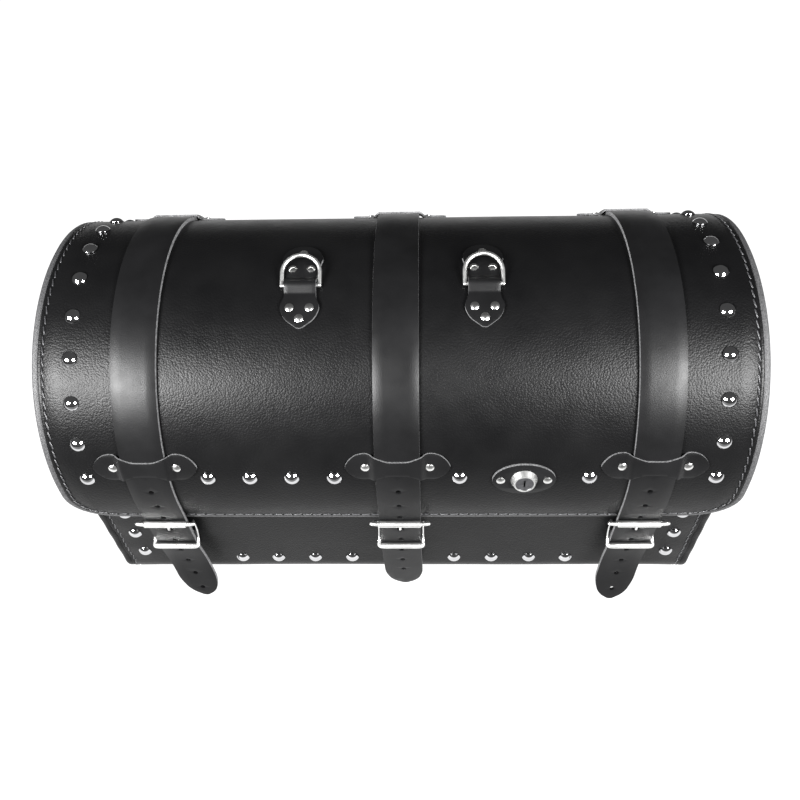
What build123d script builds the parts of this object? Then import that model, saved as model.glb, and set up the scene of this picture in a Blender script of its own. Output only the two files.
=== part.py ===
from build123d import *
import os
from math import asin, cos, degrees, radians, sin, sqrt, tan

os.makedirs("parts", exist_ok=True)

# A leather luggage bag for the rear rack of a motorcycle. A box-shaped case with D-shaped ends
# is closed by a half-round lid that is hinged along the back. +X is to the bag's right, -Y is
# its front and +Z is up. The origin is on the base, under the axis of the lid's curve.
# Angles named phi run round that axis: 0 points to the front, 90 to the top, 180 to the back.

# ---- case ----
axis_height = 180.0            # axis of the lid's curve above the base
body_half = 290.6              # half the case over its end panels
base_front = 123.5             # front of the base, before the wall
wall_lean = 4.0                # degrees that the front wall leans out as it rises
front_corner = 30.0            # radius of the front bottom edge
back_corner = 12.0             # radius of the back bottom edge
shoulder_radius = 45.0         # where the front wall's line turns into the round top of an end
leather = 3.0                  # thick leather of the case and the lid
shell_wall = 4.0               # moulded inner shell of the case
felt = 1.2                     # felt lining of the case
roll_width = 7.0               # rolled edge at each side seam
rim_above_axis = 8.0           # rim of the case above the lid's axis
lid_gap = 1.0                  # between the round tops of the ends and the lid's lining

# ---- lid ----
lid_radius = 150.0             # outside of the lid's leather
lid_overhang = 5.4              # lid leather past the end panels, without its piping
lid_half = body_half + lid_overhang
lid_core_wall = 2.0            # moulded stiffener
lid_felt = 1.0                 # lining
lid_front_phi = -16.5          # front edge of the lid's leather
lid_corner = 36.0              # radius of the lid's front corners
corner_overrun = 0.4           # how far a corner's circle passes the edges that it joins
piping = 6.0                   # piping bead round the lid
hinge_above_axis = 3.0         # height of the flex line above the lid's axis
hinge_gap = 4.0                # between the back panel and the lid at the flex line
hinge_leather = 2.5
hinge_reach = 26.0             # hinge leather on each side of the flex line
hinge_offset = 0.5             # the hinge axis lies this far outside the hinge leather
hinge_rivets_across = 9

# ---- straps, keepers and buckles ----
strap_width = 38.0
strap_thick = 3.5
strap_pitch = 217.0            # distance from the middle strap to each outer strap
strap_back_phi = 163.0
strap_leave = 6.0              # degrees below the lid's axis where a strap leaves the lid
tail_floor_gap = 3.0           # tips of the straps above the base
tail_straight = 92.0           # straight tail before an outer strap's end curls outwards
curl_radius = 120.0
left_curl = 17.0               # degrees that the left strap's end turns outwards
right_curl = 26.0              # degrees that the right strap's end turns outwards
tip_length = 26.0
hole_pitch = 21.3
hole_radius = 2.0
keeper_width = 90.0
keeper_lobe = 30.0
keeper_waist = 21.0
keeper_leather = 2.0
keeper_gap = 0.3               # between a strap and what lies over it
keeper_rivet_span = 55.0
keeper_front_phi = 12.6
keeper_back_phi = 130.0
buckle_at = 28.5               # roller of the buckle, measured down the tail
roller_radius = 3.1
roller_length = 39.0
frame_wire = 2.0               # radius of the buckle frame's wire
frame_half = 25.5              # half the frame at its roller bar
lower_half = 22.0              # half the frame at its lower bar
lower_drop = 43.0              # lower bar below the roller
middle_drop = 18.0             # middle bar below the roller
middle_bar = 1.5               # radius of the middle bar, which lies behind the strap
middle_back = 3.3              # middle bar behind the strap's back face
running_gap = 0.06             # radial clearance of rollers and prongs
prong_radius = 1.2
prong_loop = 1.3               # wall of the prong's loop
prong_loop_width = 3.2
prong_hole_radius = 3.4
prong_hole_drop = 14.6         # hole that the prong goes through, below the roller

# ---- hidden quick-release clips ----
chape_width = 30.0
chape_leather = 1.4
chape_length = 26.0
chape_lean = 12.0              # degrees from upright, near the way the lid's edge starts to move
tongue_width = 22.0
tongue_thick = 1.4
tongue_from = 12.0
tongue_to = 38.0
tongue_gap = 0.9
receiver_width = 30.0
receiver_height = 14.0
receiver_flange = 2.0
receiver_foot = 11.0           # riveted foot below the socket
receiver_rivet_half = 8.0

# ---- rivets and studs ----
stud_radius = 6.5
stud_height = 4.0
side_stud_inset = 25.0          # from the end of the lid's leather to the row
side_stud_first_phi = 7.2
side_stud_step_phi = 14.15
side_studs_per_side = 12
front_stud_places = (-165.0, -128.5, -92.0, -55.0, 53.0, 164.0)
case_stud_inset = 27.1          # from the end panel to the row
case_stud_heights = (122.5, 86.0, 50.0)
bottom_stud_places = (-165.0, -128.0, -90.0, -52.0, 52.0, 90.0, 128.0, 165.0)
bottom_stud_height = 37.0
rivet_radius = 3.75
rivet_height = 1.6
rivet_shank = 1.5

# ---- D-rings and their tabs ----
ring_places = {"left": -80.0, "right": 73.5}
ring_phi = 73.5
ring_wire = 1.75
ring_half = 16.0               # from the middle of the ring to the middle of its side wire
ring_side = 11.5               # straight side of the ring
ring_play = 0.4
ring_rest = 12.0               # degrees that the resting ring stands above the lid's slope
tab_leather = 2.5
tab_waist_half = 13.3
tab_waist_length = 12.0
tab_lobe = 17.25
tab_upper = 45.0
tab_lower = 40.0
tab_upper_rivets = ((0.0, 34.8), (-8.0, 17.0), (8.0, 17.0))
tab_lower_rivets = ((0.0, -30.0), (-8.3, -20.7), (8.3, -20.7))

# ---- lock ----
lock_place = 108.0
lock_phi = 7.0
lock_plate_long = 54.0
lock_plate_short = 34.0
lock_plate_leather = 2.5
lock_rivet_half = 20.0
bezel_radius = 11.5
bezel_top_radius = 9.0
bezel_height = 5.0
barrel_radius = 9.4
plug_radius = 7.8
plug_gap = 0.05
plug_recess = 0.5
lock_nut_radius = 12.3
lock_nut_thick = 3.3
cam_thick = 2.5
cam_width = 12.0
cam_reach = 28.0
cam_gap = 0.7
cam_screw_radius = 4.0
cam_screw_height = 2.0
strike_from = 16.0             # strike plate, measured from the lock's axis along the bag
strike_to = 34.0
strike_thick = 2.0
strike_drop = 22.0             # strike plate below the case's rim
strike_over_cam = 1.7
strike_lip = 11.2

# ---- base ----
rack_plate_half_x = 150.0
rack_plate_half_y = 80.0
rack_plate_thick = 3.0
base_middle = 10.0             # middle of the base's flat part, from the lid's axis plane
rack_bolt_x = 240.0
rack_bolt_y = 130.0
rack_bolt_radius = 4.25
eyelet_radius = 7.0

nodes = {}


# ---------------------------------------------------------------- shared shapes
def round_point(radius, phi):
    """Point in the YZ plane at an angle round the lid's axis."""
    return (-radius * cos(radians(phi)), axis_height + radius * sin(radians(phi)))


def band(inner, outer, start, end):
    """Part of a ring about the lid's axis, as a face in the YZ plane."""
    middle = (start + end) / 2
    outside = ThreePointArc(*[round_point(outer, phi) for phi in (start, middle, end)])
    inside = ThreePointArc(*[round_point(inner, phi) for phi in (end, middle, start)])
    edges = [outside, Line(outside @ 1, inside @ 0), inside, Line(inside @ 1, outside @ 0)]
    return make_face(Curve() + edges)


def along(profile, x_from, x_to):
    """A YZ profile carried along the bag."""
    return Pos(x_from, 0, 0) * extrude(Plane.YZ * profile, x_to - x_from)


def lid_plane(x, phi, height=0.0):
    """Plane on the lid: z points out of the leather and y up its curve."""
    y, z = round_point(lid_radius + height, phi)
    outward = (0, -cos(radians(phi)), sin(radians(phi)))
    return Plane(origin=(x, y, z), x_dir=(1, 0, 0), z_dir=outward)


def wall_y(z):
    """Outside of the front wall at a height."""
    return -(base_front + z * tan(radians(wall_lean)))


def wall_plane(x, z, height=0.0):
    """Plane on the front wall: z points out of the leather and y up the wall."""
    outward = (0, -cos(radians(wall_lean)), -sin(radians(wall_lean)))
    origin = Vector(x, wall_y(z), z) + Vector(*outward) * height
    return Plane(origin=origin, x_dir=(1, 0, 0), z_dir=outward)


def dome(radius, height):
    """Domed head with its flat face on the XY plane."""
    ball = (radius**2 + height**2) / (2 * height)
    return Pos(0, 0, height - ball) * Sphere(ball) & Pos(0, 0, height) * Box(4 * radius, 4 * radius, 2 * height)


def stud():
    return dome(stud_radius, stud_height)


def rivet(grip):
    """Rivet with its head above the plane and its shank through the grip below it."""
    return dome(rivet_radius, rivet_height) + Pos(0, 0, -grip / 2) * Cylinder(rivet_shank, grip)


def rivet_hole(grip):
    """Hole for a rivet, to the grip below the plane."""
    return Pos(0, 0, -grip / 2) * Cylinder(rivet_shank, grip)


def placed(planes, shape):
    """Copies of a shape, one on each plane."""
    return [plane.location * shape for plane in planes]


# ---------------------------------------------------------------- case
top_radius = lid_radius - leather - lid_core_wall - lid_felt - lid_gap
rim_height = axis_height + rim_above_axis
tan_lean = tan(radians(wall_lean))
shell_inset = leather
felt_inset = leather + shell_wall
inside_inset = leather + shell_wall + felt
front_grow = 1 / cos(radians(wall_lean))


def end_outline(inset):
    """D-shaped outline of the case in the YZ plane, moved in by the inset on all sides."""
    front = base_front - inset * front_grow
    top = axis_height + lid_radius
    back = top_radius - inset
    sides = make_face(Polyline((-front - inset * tan_lean, inset), (back, inset), (back, top),
                               (-front - top * tan_lean, top), close=True))
    below = Pos(0, axis_height / 2) * Rectangle(4 * lid_radius, axis_height)
    outline = sides & (Pos(0, axis_height) * Circle(back) + below)
    low = outline.vertices().group_by(Axis.Y)[0].sort_by(Axis.X)
    outline = fillet(low[0], max(front_corner - inset, 1.0))
    low = outline.vertices().group_by(Axis.Y)[0].sort_by(Axis.X)
    outline = fillet(low[-1], max(back_corner - inset, 1.0))
    shoulder = outline.vertices().filter_by(lambda v: v.Y > axis_height + 1 and v.X < 0)
    return fillet(shoulder, shoulder_radius)


outer_face = end_outline(0)
shell_face = end_outline(shell_inset)
felt_face = end_outline(felt_inset)
inside_face = end_outline(inside_inset)
seam_half = body_half - roll_width
shell_half = body_half - leather
felt_half = shell_half - shell_wall
inside_half = felt_half - felt
above_rim = Pos(0, 0, rim_height + lid_radius) * Box(2 * felt_half, 4 * lid_radius, 2 * lid_radius)
over_rim = Pos(0, 0, rim_height + lid_radius) * Box(2 * body_half, 4 * lid_radius, 2 * lid_radius)

case_shell = along(shell_face, -shell_half, shell_half) - along(felt_face, -felt_half, felt_half)
case_shell -= above_rim
case_lining = along(felt_face, -felt_half, felt_half) - along(inside_face, -inside_half, inside_half)
case_lining -= Pos(0, 0, rim_height + lid_radius) * Box(2 * inside_half, 4 * lid_radius, 2 * lid_radius)
case_wrap = along(outer_face, -seam_half, seam_half) - along(shell_face, -seam_half, seam_half)
case_wrap -= over_rim

for side, sign in (("left", -1), ("right", 1)):
    ends = sorted((sign * shell_half, sign * body_half))
    nodes["end_panel_" + side] = along(shell_face, *ends)
    ends = sorted((sign * seam_half, sign * body_half))
    roll = along(outer_face, *ends) - along(shell_face, *ends)
    nodes["end_roll_" + side] = roll

# Back of the case: a board and a leather panel that lies flush with the lid.
back_board_from = top_radius
back_board_to = lid_radius - leather
back_top = axis_height + hinge_above_axis - hinge_gap / 4
back_board = Pos(0, (back_board_from + back_board_to) / 2, (back_corner + back_top) / 2) * Box(
    2 * seam_half, back_board_to - back_board_from, back_top - back_corner)
back_panel = Pos(0, back_board_to + leather / 2, (back_corner / 2 + back_top) / 2) * Box(
    2 * lid_half, leather, back_top - back_corner / 2)

# ---------------------------------------------------------------- lid
hinge_height = axis_height + hinge_above_axis
lid_back_phi = 180 - degrees(asin((hinge_above_axis + hinge_gap * 0.75) / lid_radius))
core_outer = lid_radius - leather
felt_outer = core_outer - lid_core_wall
felt_inner = felt_outer - lid_felt


def lid_blank(inner, outer, grow, past_back=0.0):
    """Curved slab with round front corners; grow moves its free edges outwards."""
    front_phi = lid_front_phi - degrees(grow / lid_radius)
    half = lid_half + grow
    corner = lid_corner + grow
    slab = along(band(inner, outer, front_phi, lid_back_phi + past_back), -half, half)
    wide = 1.5 * corner
    square = Pos(half - corner + wide / 2, corner - wide / 2) * Rectangle(wide, wide)
    outside_round = square - Pos(half - corner + corner_overrun, corner - corner_overrun) * Circle(corner)
    cutter = extrude(lid_plane(0, front_phi, -lid_radius / 5).location * outside_round, lid_radius / 3)
    return slab - cutter - mirror(cutter, Plane.YZ)


lid_skin = lid_blank(core_outer, lid_radius, 0)
lid_core = lid_blank(felt_outer, core_outer, 0)
lid_lining = lid_blank(felt_inner, felt_outer, 0)
lid_piping = lid_blank(felt_inner, lid_radius, piping) - lid_blank(felt_inner - 1, lid_radius + 1, 0, 2.0)

# ---------------------------------------------------------------- hinge leather
leaf_arc = degrees(hinge_reach / lid_radius)
leaf_outer = lid_radius + hinge_leather
hinge_line_y = leaf_outer + hinge_offset
leaf_case_top = hinge_height - hinge_gap / 16
leaf_lid_phi = 180 - degrees(asin((hinge_above_axis + hinge_gap / 16) / lid_radius))
hinge_leaf_case = Pos(0, lid_radius + hinge_leather / 2, leaf_case_top - hinge_reach / 2) * Box(
    2 * lid_half - 2 * roll_width, hinge_leather, hinge_reach)
hinge_leaf_lid = along(band(lid_radius, leaf_outer, leaf_lid_phi - leaf_arc, leaf_lid_phi),
                       -lid_half + roll_width, lid_half - roll_width)
rivet_step = 2 * (lid_half - 3 * roll_width) / (hinge_rivets_across - 1)
rivet_row = [(i - (hinge_rivets_across - 1) / 2) * rivet_step for i in range(hinge_rivets_across)]
case_hinge_planes = [Plane(origin=(x, leaf_outer, leaf_case_top - hinge_reach / 2), x_dir=(1, 0, 0),
                           z_dir=(0, 1, 0)) for x in rivet_row]
lid_hinge_planes = [lid_plane(x, leaf_lid_phi - leaf_arc / 2, hinge_leather) for x in rivet_row]
hinge_grip = hinge_leather + leather

# ---------------------------------------------------------------- straps
strap_places = {"left": -strap_pitch, "centre": 0.0, "right": strap_pitch}
strap_curls = {"left": left_curl, "centre": 0.0, "right": right_curl}
leave_point = Vector(0, *round_point(lid_radius, -strap_leave))
tail_down = Vector(0, sin(radians(strap_leave)), -cos(radians(strap_leave)))
tail_out = Vector(0, -cos(radians(strap_leave)), -sin(radians(strap_leave)))


def strap_plane(x, s, curl=0.0):
    """Plane on a strap's back face, s down its tail from where it leaves the lid."""
    if s < 0:
        return lid_plane(x, -strap_leave + degrees(-s / lid_radius))
    turned = min(max(s - tail_straight, 0) / curl_radius, radians(curl))
    rest = s - min(s, tail_straight) - turned * curl_radius
    down = tail_down * cos(turned) + tail_out * sin(turned)
    out = tail_out * cos(turned) - tail_down * sin(turned)
    if curl == 0:
        return Plane(origin=Vector(x, 0, 0) + leave_point + tail_down * s, x_dir=(1, 0, 0), z_dir=tail_out)
    bend = tail_down * (sin(turned) * curl_radius) + tail_out * ((1 - cos(turned)) * curl_radius)
    origin = leave_point + tail_down * min(s, tail_straight) + bend + down * rest
    return Plane(origin=Vector(x, 0, 0) + origin, x_dir=(1, 0, 0), z_dir=out)


def tail_length(curl):
    """Length of a tail whose tip ends just above the base."""
    bottom = tail_straight
    while strap_plane(0, bottom, curl).origin.Z > tail_floor_gap:
        bottom += 0.5
    return bottom


def strap_side(height, curl, length):
    """Edges of a strap seen from the side, at a height above its back face."""
    over = ThreePointArc(*[round_point(lid_radius + height, phi) for phi in (strap_back_phi, 80, -strap_leave)])
    start = over @ 1
    heading = Vector(tail_down.Y, tail_down.Z)
    if curl == 0:
        return [over, Line(start, start + heading * length)]
    drop = Line(start, start + heading * tail_straight)
    turn = JernArc(drop @ 1, heading, curl_radius - height, -curl)
    rest = length - tail_straight - curl_radius * radians(curl)
    return [over, drop, turn, Line(turn @ 1, turn @ 1 + (turn % 1) * rest)]


def strap(x, curl):
    """A strap from the back of the lid to its pointed tip, with its holes."""
    length = tail_length(curl)
    back = strap_side(0, curl, length)
    front = strap_side(strap_thick, curl, length)
    ends = [Line(back[0] @ 0, front[0] @ 0), Line(back[-1] @ 1, front[-1] @ 1)]
    body = along(make_face(Curve() + back + front + ends), x - strap_width / 2, x + strap_width / 2)
    tip = strap_plane(x, length, curl).origin.Z
    half = strap_width / 2
    left = ThreePointArc((x - half, tip + tip_length), (x - 0.72 * half, tip + 0.33 * tip_length), (x, tip))
    right = ThreePointArc((x, tip), (x + 0.72 * half, tip + 0.33 * tip_length), (x + half, tip + tip_length))
    top = 2 * axis_height + lid_radius
    sides = Polyline(right @ 1, (x + half, top), (x - half, top), left @ 0)
    front_view = make_face(Curve() + [left, right, sides])
    body = body & Pos(0, 2 * lid_radius, 0) * extrude(Plane.XZ * front_view, 4 * lid_radius)
    prong_hole = buckle_at + prong_hole_drop
    for number in range(-4, 7):
        s = prong_hole + number * hole_pitch
        radius = prong_hole_radius if number == 0 else hole_radius
        if s < length - tip_length / 2:
            body -= strap_plane(x, s, curl).location * Cylinder(radius, 4 * strap_thick)
    return body


strap_rivet_phi = strap_back_phi - degrees(9 / lid_radius)
strap_rivet_planes = [lid_plane(x + dx, strap_rivet_phi, strap_thick)
                      for x in strap_places.values() for dx in (-strap_width / 4, strap_width / 4)]
for side, x in strap_places.items():
    nodes["strap_" + side] = strap(x, strap_curls[side]) - placed(strap_rivet_planes, rivet_hole(strap_thick + leather))

# ---------------------------------------------------------------- keepers over the straps
bridge = strap_thick + keeper_gap
bridge_half = strap_width / 2 + keeper_gap


def keeper(x, phi):
    """Bow-tie leather loop, riveted at both ends, with a tunnel for the strap."""
    span = degrees(keeper_lobe / lid_radius)
    ends = (phi - span, phi + span)
    flat = along(band(lid_radius, lid_radius + keeper_leather, *ends), x - keeper_width / 2, x + keeper_width / 2)
    outer_half = bridge_half + keeper_leather
    raised = along(band(lid_radius, lid_radius + bridge + keeper_leather, *ends), x - outer_half, x + outer_half)
    tunnel = along(band(lid_radius - 1, lid_radius + bridge, *ends), x - bridge_half, x + bridge_half)
    end_x, lobe_x = keeper_width / 2, keeper_width / 2 - keeper_lobe / 3
    half_lobe, half_waist = keeper_lobe / 2, keeper_waist / 2
    corner = [(end_x, 0), (lobe_x, half_lobe), (lobe_x - keeper_lobe / 4, half_lobe), (outer_half - 2, half_waist)]
    quarter = corner + [(-a, b) for a, b in reversed(corner)]
    outline = quarter + [(-a, -b) for a, b in quarter[1:-1]]
    prism = extrude(lid_plane(x, phi, -5).location * make_face(Polyline(*outline, close=True)), 20)
    return (flat + raised - tunnel) & prism


def keeper_rivet_planes(phi):
    return [lid_plane(x + dx, phi, keeper_leather)
            for x in strap_places.values() for dx in (-keeper_rivet_span / 2, keeper_rivet_span / 2)]


front_keeper_planes = keeper_rivet_planes(keeper_front_phi)
back_keeper_planes = keeper_rivet_planes(keeper_back_phi)
keeper_holes = placed(front_keeper_planes + back_keeper_planes, rivet_hole(keeper_leather + leather))
back_keepers = []
for side, x in strap_places.items():
    nodes["keeper_" + side] = keeper(x, keeper_front_phi) - keeper_holes
    back_keepers.append(keeper(x, keeper_back_phi) - keeper_holes)
nodes["back_keepers"] = Part() + back_keepers

# ---------------------------------------------------------------- D-rings and tabs
ring_height = ring_wire + ring_play
tunnel_radius = ring_height + 0.3


def tab(x):
    """Leather tab that holds a D-ring under a hump across its waist."""
    half_span = degrees(asin(tab_upper / lid_radius)) + 2
    sheet = along(band(lid_radius, lid_radius + tab_leather, ring_phi - half_span, ring_phi + half_span),
                  x - tab_lobe, x + tab_lobe)
    lobe_y = tab_upper - tab_lobe
    low_y = tab_lower / 2
    neck = tab_waist_length
    upper = [Line((tab_waist_half, neck), (tab_lobe, lobe_y)),
             ThreePointArc((tab_lobe, lobe_y), (0, tab_upper), (-tab_lobe, lobe_y)),
             Line((-tab_lobe, lobe_y), (-tab_waist_half, neck))]
    lower = Polyline((-tab_waist_half, neck), (-tab_waist_half, -neck), (-tab_lobe, -low_y),
                     (-tab_lobe * 0.75, -low_y - tab_lobe * 0.6), (0, -tab_lower),
                     (tab_lobe * 0.75, -low_y - tab_lobe * 0.6), (tab_lobe, -low_y),
                     (tab_waist_half, -neck), (tab_waist_half, neck))
    outline = make_face(Curve() + upper + [lower])
    place = lid_plane(x, ring_phi).location
    shape = sheet & (place * Pos(0, 0, -tab_lobe) * extrude(outline, 2 * tab_lobe))
    across = Pos(0, 0, ring_height) * Rot(0, 90, 0)
    hump = place * across * Cylinder(tunnel_radius + tab_leather, 2 * tab_waist_half)
    hump -= along(band(lid_radius - 9, lid_radius, ring_phi - 9, ring_phi + 9), x - tab_lobe, x + tab_lobe)
    return shape + hump - place * across * Cylinder(tunnel_radius, 4 * tab_lobe)


def ring(x):
    """D-ring with its straight bar on the hinge axis."""
    wire = Rot(0, 90, 0) * Cylinder(ring_wire, 2 * ring_half)
    for sign in (-1, 1):
        wire += Pos(sign * ring_half, 0, 0) * Sphere(ring_wire)
        wire += Pos(sign * ring_half, ring_side / 2, 0) * Rot(90, 0, 0) * Cylinder(ring_wire, ring_side)
    bow = CenterArc((0, ring_side), ring_half, 0, 180)
    section = Plane(origin=bow @ 0, z_dir=(0, 1, 0)) * Circle(ring_wire)
    wire += sweep(section, path=bow)
    return lid_plane(x, ring_phi, ring_height).location * Rot(ring_rest, 0, 0) * wire


tab_rivet_planes = []
for x in ring_places.values():
    for dx, dy in tab_upper_rivets + tab_lower_rivets:
        tab_rivet_planes.append(lid_plane(x + dx, ring_phi + degrees(asin(dy / lid_radius)), tab_leather))
for side, x in ring_places.items():
    nodes["ring_tab_" + side] = tab(x) - placed(tab_rivet_planes, rivet_hole(tab_leather + leather))
    nodes["d_ring_" + side] = ring(x)

# ---------------------------------------------------------------- lock
lock_face = lid_plane(lock_place, lock_phi).location
plate_span = degrees(lock_plate_short / lid_radius)
plate_prism = lock_face * Pos(0, 0, -lock_plate_short / 2) * extrude(
    Ellipse(lock_plate_long / 2, lock_plate_short / 2), lock_plate_short)
lid_inside = -(leather + lid_core_wall + lid_felt)
lid_inner = lid_radius + lid_inside
nut_front = sqrt(lid_inner**2 - lock_nut_radius**2) - lid_radius
nut_back = nut_front - lock_nut_thick
barrel_back = nut_back - cam_gap
plug_top = lock_plate_leather + bezel_height - plug_recess
barrel_hole = lock_face * Cylinder(barrel_radius, 6 * lock_plate_short / 2)
lock_rivet_planes = [Plane(lock_face * Pos(dx, 0, lock_plate_leather)) for dx in (-lock_rivet_half, lock_rivet_half)]
lock_plate = along(band(lid_radius, lid_radius + lock_plate_leather, lock_phi - plate_span, lock_phi + plate_span),
                   lock_place - lock_plate_long / 2, lock_place + lock_plate_long / 2) & plate_prism
lock_plate = lock_plate - barrel_hole - placed(lock_rivet_planes, rivet_hole(lock_plate_leather + leather))


def disc(radius, low, high):
    """Round slice about the lock's axis, between two heights above the lid."""
    return Pos(0, 0, (low + high) / 2) * Cylinder(radius, high - low)


bezel = Pos(0, 0, lock_plate_leather + bezel_height / 2) * Cone(bezel_radius, bezel_top_radius, bezel_height)
lock_body = bezel + disc(barrel_radius, barrel_back, lock_plate_leather)
lock_body -= disc(plug_radius + plug_gap, barrel_back - 1, plug_top + bezel_height)
lock_nut = disc(lock_nut_radius, nut_back, nut_front) - disc(barrel_radius, nut_back - 1, nut_front + 1)
lock_plug = disc(plug_radius, barrel_back, plug_top) - Pos(0, 0, plug_top) * Box(1.6, 8.0, 6.0)
cam_bar = Pos(0, -cam_reach / 2, 0) * Box(cam_width, cam_reach, cam_thick)
cam_top = barrel_back
lock_cam = Pos(0, 0, cam_top - cam_thick / 2) * (cam_bar + Cylinder(cam_width * 0.7, cam_thick))
lock_cam += disc(cam_screw_radius, cam_top - cam_thick - cam_screw_height, cam_top - cam_thick)

# ---------------------------------------------------------------- strike on the case's rim
strike_low = rim_height - strike_drop
strike_inner = wall_y(strike_low) + (leather + shell_wall + felt) * front_grow
cam_high = lid_plane(lock_place, lock_phi, cam_top).origin.Z + cam_width / 2 * cos(radians(lock_phi))
lip_low = cam_high + strike_over_cam
strike_x = lock_place + (strike_from + strike_to) / 2
strike_wide = strike_to - strike_from
strike_plate = Pos(strike_x, strike_inner + strike_thick / 2, (strike_low + lip_low + strike_thick) / 2) * Box(
    strike_wide, strike_thick, lip_low + strike_thick - strike_low)
strike_plate += Pos(strike_x, strike_inner - strike_lip / 2, lip_low + strike_thick / 2) * Box(
    strike_wide, strike_lip, strike_thick)
strike_face = strike_inner + strike_thick
strike_rivet_planes = [Plane(origin=(strike_x + dx, strike_face, strike_low + strike_drop / 3), x_dir=(1, 0, 0),
                             z_dir=(0, 1, 0)) for dx in (-strike_wide / 4, strike_wide / 4)]
strike_plate -= placed(strike_rivet_planes, rivet_hole(strike_thick))

# ---------------------------------------------------------------- buckles
bar_out = strap_thick + keeper_gap + roller_radius
lower_out = strap_thick + keeper_gap + frame_wire


def buckle_frame(x):
    """Wire frame whose sides dip back to a bar behind the strap."""
    points = [(frame_half, 0, bar_out), (frame_half, -middle_drop, -middle_back), (lower_half, -lower_drop, lower_out)]
    points += [(-a, b, c) for a, b, c in reversed(points)]
    path = FilletPolyline(*points, radius=[8, 4.5, 4.5, 8])
    section = Plane(origin=path @ 0, z_dir=path % 0) * Circle(frame_wire)
    frame = sweep(section, path=path)
    frame += Pos(0, 0, bar_out) * Rot(0, 90, 0) * Cylinder(frame_wire, 2 * frame_half)
    frame += Pos(0, -middle_drop, -middle_back) * Rot(0, 90, 0) * Cylinder(middle_bar, 2 * frame_half)
    for sign in (-1, 1):
        frame += Pos(sign * frame_half, 0, bar_out) * Sphere(frame_wire)
    return strap_plane(x, buckle_at).location * frame


def roller(x):
    """Tube that turns on the frame's upper bar."""
    tube = Cylinder(roller_radius, roller_length) - Cylinder(frame_wire + running_gap, 2 * roller_length)
    return strap_plane(x, buckle_at).location * Pos(0, 0, bar_out) * Rot(0, 90, 0) * tube


def prong(x):
    """Pin that loops round the middle bar and comes out through a hole in the strap."""
    loop = Cylinder(middle_bar + running_gap + prong_loop, prong_loop_width)
    hole = Cylinder(middle_bar + running_gap, 2 * prong_loop_width)
    lying = strap_thick + keeper_gap + prong_radius
    path = FilletPolyline((0, -middle_drop + 1.1, -middle_back + 1.9), (0, -prong_hole_drop + 1.0, lying),
                          (0, -roller_radius - prong_radius - 0.2, lying), radius=2.0)
    section = Plane(origin=path @ 0, z_dir=path % 0) * Circle(prong_radius)
    pin = sweep(section, path=path) + Pos(*(path @ 1)) * Sphere(prong_radius)
    turned = Pos(0, -middle_drop, -middle_back) * Rot(0, 90, 0)
    return strap_plane(x, buckle_at).location * ((pin + turned * loop) - turned * hole)


# ---------------------------------------------------------------- chapes and clips
middle_bar_point = strap_plane(0, buckle_at + middle_drop, 0).origin - tail_out * middle_back
chape_out = Vector(0, -cos(radians(chape_lean)), -sin(radians(chape_lean)))
chape_loop = middle_bar + running_gap + chape_leather


def chape_location(x):
    """Middle bar of a buckle, with y up the chape and z out of it."""
    return Plane(origin=middle_bar_point + Vector(x, 0, 0), x_dir=(1, 0, 0), z_dir=chape_out).location


def hanging(width, thick, low, high):
    """Plate in a chape's own plane, between two distances below the bar."""
    return Pos(0, -(low + high) / 2, 0) * Box(width, high - low, thick)


def chape():
    """Leather looped round the middle bar, with a slot for the prong."""
    piece = Rot(0, 90, 0) * Cylinder(chape_loop, chape_width)
    piece += hanging(chape_width, 2 * chape_leather, 0, chape_length)
    piece -= Rot(0, 90, 0) * Cylinder(middle_bar + running_gap, 2 * chape_width)
    piece -= hanging(prong_loop_width + 1.6, 4 * chape_loop, -2 * chape_loop, 1.5 * chape_loop)
    return piece - hanging(tongue_width, tongue_thick, tongue_from, chape_length)


tongue = hanging(tongue_width, tongue_thick, tongue_from, tongue_to)
slot = hanging(tongue_width + 2 * tongue_gap, tongue_thick + 2 * tongue_gap, -chape_length, tongue_to + tongue_gap)
receiver_top = (chape_location(0) * Pos(0, -chape_length - tongue_gap, 0)).position.Z - 1.0
receiver_depth = (wall_y(receiver_top) - (chape_location(0) * Pos(0, -chape_length, 0)).position.Y
                  + tongue_thick / 2 + tongue_gap + 1.6)


def receiver(x):
    """Socket on the front wall that the clip's tongue drops into."""
    top_edge = wall_plane(x, receiver_top).location
    block = Pos(0, -receiver_height / 2, receiver_depth / 2) * Box(receiver_width, receiver_height, receiver_depth)
    foot = Pos(0, -receiver_height - receiver_foot / 2, receiver_flange / 2) * Box(
        receiver_width, receiver_foot, receiver_flange)
    return top_edge * (block + foot) - chape_location(x) * slot


foot_middle = Pos(0, -receiver_height - receiver_foot / 2, receiver_flange)
receiver_rivet_planes = [Plane(wall_plane(x + dx, receiver_top).location * foot_middle)
                         for x in strap_places.values() for dx in (-receiver_rivet_half, receiver_rivet_half)]
receiver_holes = placed(receiver_rivet_planes, rivet_hole(receiver_flange + leather))
tongues, receivers, chapes = [], [], []
for side, x in strap_places.items():
    nodes["buckle_frame_" + side] = buckle_frame(x)
    nodes["roller_" + side] = roller(x)
    nodes["prong_" + side] = prong(x)
    chapes.append(chape_location(x) * chape())
    tongues.append(chape_location(x) * tongue)
    receivers.append(receiver(x) - receiver_holes)
nodes["buckle_chapes"] = Part() + chapes
nodes["clip_tongues"] = Part() + tongues
nodes["clip_receivers"] = Part() + receivers

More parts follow.
